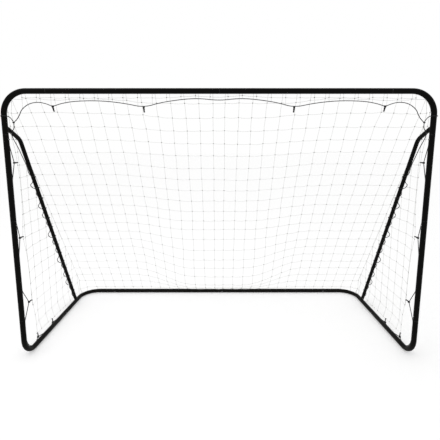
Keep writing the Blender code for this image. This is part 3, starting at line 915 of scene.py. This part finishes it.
def top_corner(side, hand, coat):
    """From the crossbar round the corner and down, with the stub for the brace's top."""
    start = Vector((BAR_SEAM_X - PLUG_LENGTH, FRONT_Y, BAR_Z))
    run = TubeRun(start, RIGHT, PLUG_RADIUS).plug().neck(TUBE_RADIUS)
    run.straight(POST_X - TOP_BEND - BAR_SEAM_X - SHOULDER).bend(DOWN, TOP_BEND, math.pi / 2)
    run.straight(BAR_Z - TOP_BEND - TOP_SEAM_Z - SHOULDER).neck(PLUG_RADIUS).plug()
    seats = [SEATS["crossbar"], SEATS["upright_top"]]
    thing = finish_tube(run, f"top_corner_{side}", hand, coat, seats)
    add_stub(thing, BRACE_TOP, BRACE_DOWN, UP, hand)


def upright_upper(side, hand, coat):
    run = TubeRun(Vector((POST_X, FRONT_Y, TOP_SEAM_Z - GAP)), DOWN, TUBE_RADIUS)
    run.socket(TOP_SEAM_Z - GAP - MIDDLE_SEAM_Z - SHOULDER).neck(PLUG_RADIUS).plug()
    seats = [SEATS["upright_top"], SEATS["upright_middle"]]
    finish_tube(run, f"upright_upper_{side}", hand, coat, seats)


def upright_lower(side, hand, coat):
    run = TubeRun(Vector((POST_X, FRONT_Y, MIDDLE_SEAM_Z - GAP)), DOWN, TUBE_RADIUS)
    run.two_sockets(MIDDLE_SEAM_Z - BOTTOM_SEAM_Z - 2 * GAP)
    seats = [SEATS["upright_middle"], SEATS["upright_bottom"]]
    finish_tube(run, f"upright_lower_{side}", hand, coat, seats)


def bottom_corner(side, hand, coat):
    """From the upright round to the ground rail, with a plug at both ends."""
    start = Vector((POST_X, FRONT_Y, BOTTOM_SEAM_Z + PLUG_LENGTH))
    run = TubeRun(start, DOWN, PLUG_RADIUS).plug().neck(TUBE_RADIUS)
    run.straight(BOTTOM_SEAM_Z - SHOULDER - RAIL_Z - BOTTOM_BEND).bend(BACK, BOTTOM_BEND, math.pi / 2)
    run.straight(RAIL_SEAM_Y - SHOULDER - FRONT_Y - BOTTOM_BEND).neck(PLUG_RADIUS).plug()
    seats = [SEATS["upright_bottom"], SEATS["ground_rail"]]
    finish_tube(run, f"bottom_corner_{side}", hand, coat, seats)


def rear_corner(side, hand, coat):
    """From the ground rail round to the rear bar, with the stub for the brace's foot."""
    run = TubeRun(Vector((POST_X, RAIL_SEAM_Y + GAP, RAIL_Z)), BACK, TUBE_RADIUS)
    run.socket(REAR_Y - REAR_BEND - RAIL_SEAM_Y - GAP).bend(LEFT, REAR_BEND, math.pi / 2)
    run.straight(POST_X - REAR_BEND - REAR_SEAM_X - SHOULDER).neck(PLUG_RADIUS).plug()
    seats = [SEATS["ground_rail"], SEATS["rear_bar"]]
    thing = finish_tube(run, f"rear_corner_{side}", hand, coat, seats)
    add_stub(thing, BRACE_FOOT, -BRACE_FALL, BACK, hand)


def brace(side, hand, coat):
    """The bent tube from the upright to the ground rail, open at both ends over its stubs."""
    turn = BRACE_DOWN.angle(BRACE_FALL)
    start = BRACE_TOP + BRACE_DOWN * clearance(BRACE_DOWN, UP)
    end = BRACE_FOOT - BRACE_FALL * clearance(BRACE_FALL, BACK)
    cut = BRACE_BEND * math.tan(turn / 2)
    run = TubeRun(start, BRACE_DOWN, BRACE_RADIUS).mark_seam()
    run.step(BRACE_LIP).straight((BRACE_KNEE - start).length - cut - BRACE_LIP)
    toward = (BRACE_FALL - BRACE_DOWN * BRACE_FALL.dot(BRACE_DOWN)).normalized()
    run.bend(toward, BRACE_BEND, turn)
    run.straight((end - BRACE_KNEE).length - cut - BRACE_LIP).step(BRACE_LIP).mark_seam()
    finish_tube(run, f"brace_{side}", hand, coat)


def bar_halves(name, coat):
    """A bar in two halves: the left one plugs into the right one at the middle."""
    far, outward = SEATS[name]
    seam = far.x + HALF_PLUG
    middle = Vector((0, far.y, far.z))
    left = TubeRun(middle - RIGHT * (seam - GAP), RIGHT, TUBE_RADIUS)
    left.socket(seam - GAP - SHOULDER).neck(PLUG_RADIUS).plug()
    right = TubeRun(middle + RIGHT * GAP, RIGHT, TUBE_RADIUS)
    right.two_sockets(seam - 2 * GAP)
    for run, side in ((left, "left"), (right, "right")):
        seats = [(mirrored(far, HANDS[side]), outward), MIDDLE_SEATS[name]]
        finish_tube(run, f"{name}_{side}", 1, coat, seats)


# Buttons and screws


def lathe(name, profile, place, outward):
    """A turned piece from half its outline, standing along outward at its place."""
    shape = bmesh.new()
    verts = [shape.verts.new((radius, 0, height)) for radius, height in profile]
    edges = [shape.edges.new(pair) for pair in zip(verts, verts[1:])]
    bmesh.ops.spin(shape, geom=[*verts, *edges], cent=(0, 0, 0), axis=(0, 0, 1),
                   angle=2 * math.pi, steps=TURNED_SIDES, use_merge=True)
    closed_up(shape)
    bmesh.ops.transform(shape, verts=shape.verts, matrix=standing(place, outward, "X"))
    thing = formed(name, shape)
    smooth(thing)
    return thing


def snap_button(name, place, outward, steel):
    """A domed pin on its spring flange, which rides on its own body."""
    top = TUBE_RADIUS + BUTTON_PROUD
    profile = []
    for angle in arc(6, 0, math.pi / 2):
        fall = PIN_RADIUS * DOME_FALL * (1 - math.cos(angle))
        profile.append((PIN_RADIUS * math.sin(angle), top - fall))
    foot = FLANGE_TOP - FLANGE_THICK
    profile += [(PIN_RADIUS, FLANGE_TOP + PIN_FILLET), (PIN_RADIUS + PIN_FILLET, FLANGE_TOP),
                (FLANGE_RADIUS, FLANGE_TOP), (FLANGE_RADIUS, foot), (0, foot)]
    thing = lathe("pin_" + name, profile, place, outward)
    dress(thing, steel, f"snap_button_{name}", f"snap_button_{name}_body")


def button_places():
    """Name, place on the tube's axis and way out of each snap button."""
    found = [(name, *seat) for name, seat in MIDDLE_SEATS.items()]
    for side, hand in HANDS.items():
        for name, (place, outward) in SEATS.items():
            found.append((f"{name}_{side}", mirrored(place, hand), mirrored(outward, hand)))
    return found


def brace_screw(name, place, outward, steel):
    """A pan-head screw with a cross recess."""
    seat = BRACE_RADIUS + GAP
    profile = [(SCREW_HEAD * out, seat + SCREW_CROWN * up) for out, up in SCREW_DOME]
    foot = seat - SCREW_DEPTH
    profile += [(SCREW_SHANK, seat), (SCREW_SHANK, foot), (0, foot - SCREW_TIP)]
    thing = lathe("head_" + name, profile, place, outward)
    shape = bmesh.new()
    crown = standing(place, outward, "X") @ Matrix.Translation((0, 0, seat + SCREW_CROWN))
    for quarter in (0, math.pi / 2):
        bar = Matrix.Rotation(quarter, 4, "Z") @ Matrix.Diagonal((*SCREW_RECESS, 1))
        bmesh.ops.create_cube(shape, size=1.0, matrix=crown @ bar)
    thing = cut_out(thing, shape, overlapping=True)
    smooth(thing)
    dress(thing, steel, name)


# Ropes


def strand_outline():
    """The outline of three strands laid together, as a closed flat curve."""
    data = bpy.data.curves.new("strands", "CURVE")
    data.dimensions = "2D"
    reaches = STRAND_REACHES * 3
    spokes = ring(Vector(), RIGHT, BACK, ROPE_RADIUS, arc(len(reaches)))
    add_line(data, [spoke * reach for spoke, reach in zip(spokes, reaches)], closed=True)
    return link("strands", data)


def laid_rope(name, routes, fibre):
    """Three-strand rope along one or more routes, in place of a CAD rope."""
    outline = strand_outline()
    data = new_curve("cord_" + name)
    data.bevel_mode = "OBJECT"
    data.bevel_object = outline
    for route in routes:
        for index, point in enumerate(add_line(data, even_steps(route, ROPE_STEP))):
            point.tilt = (2 * math.pi * index * ROPE_STEP / STRAND_PITCH) % (2 * math.pi)
    thing = frozen(link("cord_" + name, data))
    bpy.data.objects.remove(outline)
    sealed(thing)
    # The finish reads metres along the rope
    length = sum((far - near).length for near, far in zip(routes[0], routes[0][1:]))
    for corner in thing.data.uv_layers[0].data:
        corner.uv.x *= length
    dress(thing, fibre, "rope_" + name)


def overhand(place, way, size):
    """The route of a small overhand knot round a place on a rope."""
    turn = way.to_track_quat("Z", "X").to_matrix()
    return [place + turn @ spot for spot in trefoil(size / 3, -1.3, 48)]


def by_corner(place):
    """A place by the right top corner, from how far it is inward, back and down."""
    inward, back, drop = place
    return Vector((POST_X - inward, FRONT_Y + back, BAR_Z - drop))


def crossbar_rope_points():
    """The right half of the border rope under the crossbar, from the knot to the middle."""
    places = [Vector((POST_X * share, FRONT_Y + CROSSBAR_ROPE_BACK, BAR_Z - drop))
              for share, drop in CROSSBAR_ROPE]
    knot = by_corner(KNOT)
    return [knot + (places[0] - knot).normalized() * KNOT_REACH, *places]


def hooks_on_crossbar():
    """Where the rope under the crossbar carries its hooks, on the right."""
    points = crossbar_rope_points()[1:]
    return [points[index] for index in CROSSBAR_HOOKS]


def hooks_on_upright():
    """How far back and up the side's rope carries its hooks by the upright."""
    return [(back, share * SIDE_ROPE_TOP) for back, share in HOOKS_ON_UPRIGHT]


def side_rope_corners():
    """The side's border rope, back and up, with the bend at each corner but the two ends."""
    seat = SIDE_ROPE_SEAT
    low = RAIL_Z + seat
    route = [(seat, SIDE_ROPE_TOP, SEAT_BEND)]
    for back, height in hooks_on_upright():
        route += [(seat, height + HOOK_SPAN, SEAT_BEND), (back, height, HOOK_BEND),
                  (seat, height - HOOK_SPAN, SEAT_BEND)]
    route.append((seat, low, BOTTOM_BEND - seat))
    for back, height in HOOKS_ON_RAIL:
        route += [(back - HOOK_RUN_UP, low, HOOK_BEND), (back, height, HOOK_BEND),
                  (back + HOOK_SPAN, low, SEAT_BEND)]
    route.append((SIDE_ROPE_END, low, SEAT_BEND))
    return route


def side_rope_path(hand):
    route = side_rope_corners()
    corners = [(SIDE_ROPE_X, FRONT_Y + back, height) for back, height, _ in route]
    return bent_path(reflected(corners, hand), [bend for _, _, bend in route[1:-1]])


def lacing_start():
    """The right lacing rope round the upright, through the knot and slack under the knee."""
    path = ring(by_corner((0, 0, WRAP_DROP)), BACK, RIGHT, TUBE_RADIUS + ROPE_RADIUS + GAP,
                arc(WRAP_STEPS, 0, WRAP_TURN))
    slack = [Vector((x, FRONT_Y + back, height)) for x, back, height in LACING_SLACK_RUN]
    return path + rounded([path[-1], *[by_corner(place) for place in LACING_LEAD], *slack])[1:]


def lacing_path(hand):
    """The lacing rope from its start, then wound down the brace."""
    path = lacing_start()
    first = (path[-1] - BRACE_KNEE).dot(BRACE_FALL)
    last = (BRACE_FOOT - BRACE_KNEE).length - LACING_END
    ahead = BRACE_FALL.cross(RIGHT)
    snug = BRACE_RADIUS + ROPE_RADIUS + GAP
    for step in range(LACING_SKIP, LACING_TURNS * LACING_STEPS + 1):
        turns = step / LACING_STEPS
        centre = BRACE_KNEE + BRACE_FALL * (first + (last - first) * turns / LACING_TURNS)
        # The rope crosses behind the tube steeply, and hangs in a small loop ahead of it
        angle = 2 * math.pi * turns
        hang = max(0.0, math.cos(angle)) ** 3 * min(1.0, LACING_TURNS - turns)
        loop = LACING_LOOP * (1 + LOOP_UNEVEN * (math.sin(LOOP_CHANGE * math.floor(turns + 0.5)) - 1))
        around = ahead * math.cos(angle) - RIGHT * math.sin(angle)
        aslant = BRACE_FALL * LOOP_SLANT * math.sin(2 * angle) * hang
        path.append(centre + around * (snug + hang * loop) + aslant)
    return reflected(path, hand)


# Hooks


def net_hook(name, centre, rope_way, tail_way, plastic):
    """A moulded clip: an open ring round the rope, a swan neck and a curled tail for a mesh."""
    side_way = rope_way.cross(tail_way).normalized()
    spoke = (tail_way + side_way).normalized()
    start = centre + spoke * HOOK_RING
    run = StrapRun(start, rope_way.cross(spoke), rope_way, HOOK_WIDTH, HOOK_THICK)
    run.bend(-spoke, HOOK_RING, math.radians(270))
    neck = HOOK_RING * (1 + math.sqrt(2))
    run.bend((tail_way - side_way).normalized(), neck, math.radians(45))
    shank = HOOK_RING + HOOK_TAIL - HOOK_CURL - neck
    run.step(shank / 2).narrowed(HOOK_TAPER).step(shank / 2)
    run.bend(side_way, HOOK_CURL, math.radians(150)).step(HOOK_TIP).narrowed(HOOK_TIP_TAPER)
    thing = formed("clip_" + name, run.closed(HOOK_BEVEL))
    smooth(thing)
    dress(thing, plastic, name)


# Net


def ease(value, low, high):
    """0 at low, 1 at high, and smooth between."""
    share = min(1.0, max(0.0, (value - low) / (high - low)))
    return share * share * (3 - 2 * share)


def bar_centre(x):
    """The height of the crossbar's axis, which drops in the corner bend."""
    into = max(0.0, abs(x) - (POST_X - TOP_BEND))
    return BAR_Z - TOP_BEND + math.sqrt(max(0.0, TOP_BEND ** 2 - min(into, TOP_REACH) ** 2))


def bend_foot(x):
    """Where the net meets the rear bar or its bend: across and back, for a place across."""
    into = abs(x) - (POST_X - REAR_BEND)
    if into <= 0:
        return x, AXIS_DEPTH
    turn = min(math.asin(min(1.0, into / REAR_BEND)), REAR_TURN)
    across = POST_X - REAR_BEND + REAR_BEND * math.sin(turn)
    return math.copysign(across, x), AXIS_DEPTH - REAR_BEND + REAR_BEND * math.cos(turn)


def corner_limit(height):
    """How far out the net may reach so that it stays behind the rounded corner."""
    into = height - (BAR_Z - TOP_BEND)
    if into <= 0:
        return NET_EDGE_X
    return min(NET_EDGE_X, POST_X - TOP_BEND + math.sqrt(max(0.0, TOP_BEND ** 2 - into ** 2)))


def stray(place, size):
    """A small offset, the same in every run, that keeps the net from looking ruled."""
    spots = [place * STRAY_SCALE + Vector(shift) for shift in STRAY_SHIFTS]
    return Vector([noise.noise(spot) for spot in spots]) * size


def net_columns():
    """How far across each column of the back panel is, from the left edge to the right one."""
    half = [NET_CENTRE + NET_PITCH * number for number in range(NET_HALF_COLUMNS)]
    return [-NET_EDGE_X, *[-x for x in reversed(half)], *half, NET_EDGE_X]


def back_grid(sway):
    """The knots of the back panel, row by row from the top, column by column from the left."""
    tips = [mirrored(place + HOOK_HANG * (HOOK_RING + HOOK_TAIL), hand)
            for place in hooks_on_crossbar() for hand in (1, -1)]
    grid = []
    for row in range(NET_ROWS):
        along = FIRST_ROW + ROW_PITCH * row
        taut = Vector((0, FRONT_Y, BAR_Z)) + SLOPE * along
        back, height = SLACK_ROWS[row]
        slack = Vector((0, FRONT_Y + back, height))
        line = []
        for x in net_columns():
            loose = 1 - ease(abs(x), SLACK_WITHIN, SLACK_GONE)
            place = taut.lerp(slack, loose)
            limit = corner_limit(place.z)
            place.x = max(-limit, min(limit, x))
            place.y = min(place.y, FRONT_Y + bend_foot(x)[1])
            if abs(x) < NET_EDGE_X and row < NET_ROWS - 1:
                place += stray(place, sway)
            for tip in tips:
                hold = HOOKED_HOLD if row == HOOKED_ROW else OTHER_HOLD
                near = math.exp(-((place - tip).length / HOOK_PULL) ** 2)
                place = place.lerp(Vector((place.x, tip.y, tip.z)), near * hold)
            line.append(place)
        grid.append(line)
    return grid


def sagging(near, far, sag):
    """Three places between two, moved by a sag that is full at the middle one."""
    return [near.lerp(far, share) + sag * (4 * share * (1 - share)) for share in (0.25, 0.5, 0.75)]


def slack_string(places, droop):
    """A string through its knots, with a little droop between them."""
    path = [places[0]]
    for near, far in zip(places, places[1:]):
        level = 1 - abs((far - near).normalized().z)
        sway = stray(near.lerp(far, 0.5) * STRING_STRAY, droop)
        path += [*sagging(near, far, sway - UP * droop * level), far]
    return path


def round_bar(x, back, height, turn, reach):
    """Places round a bar along X, from the first to the last angle of a turn."""
    first, last = turn
    angles = arc(round(abs(last - first) / TURN_STEP), math.radians(first), math.radians(last))
    return ring(Vector((x, back, height)), BACK, UP, reach, angles)


def add_twine(shape, paths, radius, layer, knotted=False):
    """Add cords to a net's shape: strings, or the closed loops of its knots."""
    twine = swept("twine", paths, radius, 4 if knotted else 6, closed=knotted)
    before = len(shape.verts)
    shape.from_mesh(twine.data)
    bpy.data.objects.remove(twine)
    shape.verts.ensure_lookup_table()
    for vert in shape.verts[before:]:
        vert[layer] = float(knotted)


def net_knots(places, size, spin, facing):
    """A small knot at each place, flat in its panel, each turned on by the same spin."""
    loops = []
    for index, place in enumerate(places):
        turn = facing @ Matrix.Rotation(index * spin, 3, "Y") @ Matrix.Rotation(math.pi / 2, 3, "X")
        loops.append([place + turn @ spot for spot in trefoil(size / 6, -0.9, 12)[:-1]])
    return loops


def net_panel(name, node, strings, loops, radius, material):
    """A panel of the net from its strings and the closed loops of its knots and ties."""
    shape = bmesh.new()
    layer = shape.verts.layers.float.new("knot")
    add_twine(shape, strings, radius, layer)
    add_twine(shape, loops, radius * KNOT_BULK, layer, knotted=True)
    thing = formed(name, shape)
    thing.data.shade_smooth()
    dress(thing, material, node)


def crossing(path, value, axis):
    """Where a path first passes a value on one axis, or None."""
    for near, far in zip(path, path[1:]):
        low, high = sorted((near[axis], far[axis]))
        if low <= value <= high and high > low:
            return near.lerp(far, (value - near[axis]) / (far[axis] - near[axis]))
    return None


def net_ends(line, seat):
    """A column's turn over the crossbar and its seat on the rear bar."""
    x = line[0].x
    head = round_bar(x, FRONT_Y, bar_centre(x), HEAD_TURN, seat)
    foot_x, foot_back = bend_foot(line[-1].x)
    return head, round_bar(foot_x, FRONT_Y + foot_back, RAIL_Z, FOOT_TURN, seat)


def flap_strings(seat, radius):
    """The net's flap at the mouth: strings from the crossbar to its rope, their knots and ties."""
    strings = []
    row = []
    ties = []
    rope = crossbar_rope_points()
    for column in net_columns()[1:-1]:
        x = column + math.copysign(FLAP_SHIFT, column)
        tied = crossing(rope, abs(x), 0)
        if tied is None or abs(x) > POST_X - FLAP_END:
            continue
        middle = Vector((x, FRONT_Y + FLAP_BACK, max(tied.z + FLAP_OVER_ROPE, BAR_Z - FLAP_DROP)))
        middle += stray(middle, ROW_DROOP)
        rope_place = Vector((x, FRONT_Y + CROSSBAR_ROPE_BACK, tied.z))
        over = round_bar(x, FRONT_Y, bar_centre(x), FLAP_TURN, seat)
        strings.append([*over, *rounded([over[-1], middle, rope_place + UP * ROPE_RADIUS], 2)[1:]])
        ties.append(tie_round(rope_place, radius))
        row.append(middle)
    return [*strings, slack_string(row, FLAP_DROOP)], row, ties


def net_back(sizes, material):
    """The sloping panel with its turn over the crossbar, its seat on the rear bar and its flap."""
    radius = sizes.twine / 2
    seat = TUBE_CORNER + radius
    grid = back_grid(sizes.sway)
    strings = [slack_string(row, ROW_DROOP) for row in grid]
    ends = [net_ends(line, seat) for line in zip(*grid)]
    for line, (head, foot) in zip(zip(*grid), ends):
        strings.append([*head, *slack_string(line, ROW_DROOP), *foot])
    strings += [[head[0] for head, _ in ends], [foot[-1] for _, foot in ends]]
    flap, flap_row, ties = flap_strings(seat, radius)
    places = [place for row in [*grid, flap_row] for place in row]
    loops = net_knots(places, sizes.knot, BACK_SPIN, Matrix.Identity(3)) + ties
    net_panel("netting_back", "net_back", strings + flap, loops, radius, material)


def tie_round(place, radius):
    """A closed loop of twine round a rope that runs along X."""
    return ring(place, UP, FORWARD, ROPE_RADIUS + radius, arc(10)[:-1])


def side_hook_pockets():
    """Where the side's hooks hold the net's edge string: across, back and up."""
    reach = HOOK_RING + HOOK_TAIL - HOOK_CURL
    upper = [(SIDE_ROPE_X - HOOK_CURL, back + reach, height) for back, height in hooks_on_upright()]
    return upper + [(SIDE_ROPE_X + HOOK_CURL, back, height + reach) for back, height in HOOKS_ON_RAIL]


def slope_edge():
    """The right edge of the back panel: where each of its rows ends."""
    limit = bend_foot(NET_EDGE_X)[1]
    edge = []
    for row in range(NET_ROWS):
        place = Vector((NET_EDGE_X, 0, BAR_Z)) + SLOPE * (FIRST_ROW + ROW_PITCH * row)
        place.y = FRONT_Y + min(place.y, limit)
        edge.append(place)
    return edge


def side_border():
    """Where the side panel's edge string is held, from its top to its end at the rear bend."""
    on_rail = RAIL_Z + TUBE_CORNER
    held = [(SIDE_ROPE_X, TUBE_CORNER + SIDE_TOP_BACK, BAR_Z - SIDE_TOP_DROP),
            (SIDE_ROPE_X, SIDE_NEXT_BACK, SIDE_ROPE_TOP + SIDE_NEXT_RISE),
            *side_hook_pockets(),
            (SIDE_ROPE_X, SIDE_ROPE_END, on_rail + SIDE_END_RISE),
            (POST_X, bend_foot(NET_EDGE_X)[1], on_rail)]
    return [Vector((x, FRONT_Y + back, height)) for x, back, height in held]


def hung(border):
    """The edge string through its held places, pulled inward between them."""
    path = [border[0]]
    for near, far in zip(border, border[1:]):
        pull = RIGHT.cross(SLOPE) * SIDE_PULL * (far - near).length
        path += [*sagging(near, far, pull), far]
    return path


def side_knot(border, back, height, sway):
    """A knot of the side panel: in the ropes' plane near them, and further out behind them."""
    front = crossing(border[:LOWEST_HOOK + 1], height, 2)
    low = crossing(border[LOWEST_HOOK:], back, 1)
    out = ease(back - (FRONT_Y if front is None else front.y), *SIDE_OUT_BACK)
    out *= ease(height - (0.0 if low is None else low.z), *SIDE_OUT_UP)
    spot = Vector((SIDE_ROPE_X + (NET_PLANE_X - SIDE_ROPE_X) * out, back, height))
    moved = stray(spot * SIDE_STRAY, sway)
    return spot + Vector((0, moved.y, moved.z))


def side_grid(sway):
    """The side panel's strings and knots on the right, from its hooks to the back panel's edge."""
    border = side_border()
    edge_string = hung(border)
    low_string = hung(border[LOWEST_HOOK - 1:])
    edge = slope_edge()
    column_ends = edge[2::2]
    columns = [[end] for end in column_ends]
    strings = [edge_string]
    knots = []
    for end in edge[1:]:
        start = crossing(edge_string, end.z, 2)
        if start is None:
            continue
        line = [start]
        for column in columns:
            if start.y + SIDE_FIRST_GAP < column[0].y < end.y - SIDE_LAST_GAP:
                spot = side_knot(border, column[0].y, end.z, sway)
                line.append(spot)
                column.append(spot)
        strings.append(slack_string([*line, end], SIDE_ROW_DROOP))
        knots += [*line[1:], start]
    for line in columns:
        foot = crossing(low_string, line[0].y, 1)
        if foot is not None and foot.z < line[-1].z - SIDE_SHORTEST:
            line.append(foot)
            knots.append(foot)
        strings.append(slack_string(line, SIDE_COLUMN_DROOP))
    strings.append([Vector((corner_limit(end.z), end.y, end.z)) for end in edge[1:]])
    return strings, knots


def net_side(side, hand, sizes, material):
    """The side panel between the upright's hooks, the ground rail's and the back panel's edge."""
    strings, knots = side_grid(sizes.sway)
    loops = net_knots(knots, sizes.knot, SIDE_SPIN, Matrix.Rotation(math.pi / 2, 3, "Z"))
    strings = [reflected(path, hand) for path in strings]
    loops = [reflected(path, hand) for path in loops]
    net_panel(f"netting_{side}", f"net_side_{side}", strings, loops, sizes.twine / 2, material)


# Stage


def key_light():
    data = bpy.data.lights.new("key", "AREA")
    data.shape = "DISK"
    data.size = KEY_SIZE
    data.energy = KEY_POWER
    lamp = link("key", data)
    lamp.location = KEY_PLACE
    lamp.rotation_mode = "QUATERNION"
    lamp.rotation_quaternion = (KEY_AIM - KEY_PLACE).to_track_quat("-Z", "Y")


def studio_world():
    """White to the camera and in reflections, and a soft even light on the goal."""
    world = bpy.data.worlds.new("studio")
    world.use_nodes = True
    sky = Finish("studio", "Background", world.node_tree)
    sky.set(color=sky.mix(sky.seen(), [STUDIO_LEVEL] * 3, (1, 1, 1)), strength=1.0)
    bpy.context.scene.world = world


def studio_floor_piece(material):
    shape = bmesh.new()
    bmesh.ops.create_circle(shape, cap_ends=True, segments=96, radius=FLOOR_RADIUS,
                            matrix=Matrix.Translation(DOWN * FLOOR_DROP))
    floor = formed("floor", shape)
    floor.data.materials.append(material)


def studio_camera():
    """The photograph's view: eye level, a little above the middle of the mouth."""
    data = bpy.data.cameras.new("camera")
    data.sensor_width = 36.0
    data.lens = EYE_LENS
    data.shift_x, data.shift_y = EYE_SHIFT
    data.clip_start = 0.05
    data.clip_end = 200.0
    camera = link("camera", data)
    camera.location = (0, FRONT_Y - EYE_AHEAD, EYE_HEIGHT)
    camera.rotation_euler = (math.pi / 2 - EYE_DOWN, 0, 0)
    bpy.context.scene.camera = camera


# Operators


class GOAL_OT_frame(bpy.types.Operator):
    """Build the coated tubes of the frame"""

    bl_idname = "goal.frame"
    bl_label = "Frame tubes"

    def execute(self, context):
        coat = powder_coat(context.scene.goal_colours.frame, context.scene.goal_sizes.peel)
        for side, hand in HANDS.items():
            for tube in (top_corner, upright_upper, upright_lower, bottom_corner, rear_corner, brace):
                tube(side, hand, coat)
        for name in MIDDLE_SEATS:
            bar_halves(name, coat)
        return {"FINISHED"}


class GOAL_OT_fittings(bpy.types.Operator):
    """Build the snap buttons and the brace screws"""

    bl_idname = "goal.fittings"
    bl_label = "Buttons and screws"

    def execute(self, context):
        steel = turned_steel("zinc_steel", context.scene.goal_colours.buttons)
        black = turned_steel("black_steel", context.scene.goal_colours.screws)
        for name, place, outward in button_places():
            snap_button(name, place, outward, steel)
        screws = {"top": BRACE_TOP + BRACE_DOWN * SCREW_ALONG_STUB,
                  "foot": BRACE_FOOT - BRACE_FALL * SCREW_ALONG_STUB}
        for side, hand in HANDS.items():
            for end, place in screws.items():
                name = f"brace_screw_{end}_{side}"
                brace_screw(name, mirrored(place, hand), mirrored(LEFT, hand), black)
        return {"FINISHED"}


class GOAL_OT_ropes(bpy.types.Operator):
    """Lay the border ropes and the lacing ropes"""

    bl_idname = "goal.ropes"
    bl_label = "Ropes"

    def execute(self, context):
        fibre = laid_rope_finish(context.scene.goal_colours.rope)
        right = crossbar_rope_points()
        laid_rope("crossbar", [rounded(right + reflected(right[-2::-1], -1))], fibre)
        for side, hand in HANDS.items():
            path = side_rope_path(hand)
            ends = [overhand(path[0], UP, END_KNOT_SIZE), overhand(path[-1], BACK, END_KNOT_SIZE)]
            laid_rope(f"side_{side}", [path, *ends], fibre)
            lacing = lacing_path(hand)
            knots = [overhand(mirrored(by_corner(KNOT), hand), UP, KNOT_SIZE),
                     overhand(lacing[-1], UP, END_KNOT_SIZE)]
            laid_rope(f"lacing_{side}", [lacing, *knots], fibre)
        return {"FINISHED"}


class GOAL_OT_hooks(bpy.types.Operator):
    """Clip the net hooks on the border ropes"""

    bl_idname = "goal.hooks"
    bl_label = "Net hooks"

    def execute(self, context):
        plastic = moulded_plastic(context.scene.goal_colours.hooks)
        upright = [(back, height, UP, BACK) for back, height in hooks_on_upright()]
        rail = [(back, height, BACK, UP) for back, height in HOOKS_ON_RAIL]
        for side, hand in HANDS.items():
            for number, place in enumerate(hooks_on_crossbar(), 1):
                name = f"net_hook_crossbar_{number}_{side}"
                net_hook(name, mirrored(place, hand), RIGHT, HOOK_HANG, plastic)
            for number, (back, height, way, tail) in enumerate(upright + rail, 1):
                place = mirrored((SIDE_ROPE_X, FRONT_Y + back, height), hand)
                net_hook(f"net_hook_side_{number}_{side}", place, way * hand, tail, plastic)
        return {"FINISHED"}


class GOAL_OT_net(bpy.types.Operator):
    """Knot the net's back and side panels"""

    bl_idname = "goal.net"
    bl_label = "Net"

    def execute(self, context):
        sizes = context.scene.goal_sizes
        colours = context.scene.goal_colours
        material = net_twine(colours.twine, colours.knots)
        net_back(sizes, material)
        for side, hand in HANDS.items():
            net_side(side, hand, sizes, material)
        return {"FINISHED"}


class GOAL_OT_stage(bpy.types.Operator):
    """Set up the floor, the light and the camera"""

    bl_idname = "goal.stage"
    bl_label = "Studio"

    def execute(self, context):
        studio_floor_piece(studio_floor(context.scene.goal_colours.floor))
        studio_world()
        key_light()
        studio_camera()
        context.scene.view_settings.view_transform = "Standard"
        return {"FINISHED"}


class GOAL_PT_panel(bpy.types.Panel):
    """The goal's tools in the sidebar"""

    bl_idname = "GOAL_PT_panel"
    bl_label = "Soccer goal"
    bl_space_type = "VIEW_3D"
    bl_region_type = "UI"
    bl_category = "Goal"

    def draw(self, context):
        column = self.layout.column(align=True)
        for tool in OPERATORS:
            column.operator(tool.bl_idname)
        for group in (context.scene.goal_sizes, context.scene.goal_colours):
            box = self.layout.box()
            for name in group.bl_rna.properties.keys():
                if name not in ("rna_type", "name"):
                    box.prop(group, name)


OPERATORS = (GOAL_OT_stage, GOAL_OT_frame, GOAL_OT_fittings, GOAL_OT_ropes, GOAL_OT_hooks, GOAL_OT_net)
CLASSES = (GoalSizes, GoalColours, *OPERATORS, GOAL_PT_panel)


def register():
    for kind in CLASSES:
        bpy.utils.register_class(kind)
    bpy.types.Scene.goal_sizes = bpy.props.PointerProperty(type=GoalSizes)
    bpy.types.Scene.goal_colours = bpy.props.PointerProperty(type=GoalColours)


def unregister():
    del bpy.types.Scene.goal_colours
    del bpy.types.Scene.goal_sizes
    for kind in reversed(CLASSES):
        bpy.utils.unregister_class(kind)


def main():
    """Build every piece in order."""
    register()
    bpy.ops.goal.stage()
    bpy.ops.goal.frame()
    bpy.ops.goal.fittings()
    bpy.ops.goal.ropes()
    bpy.ops.goal.hooks()
    bpy.ops.goal.net()


if __name__ == "__main__":
    main()
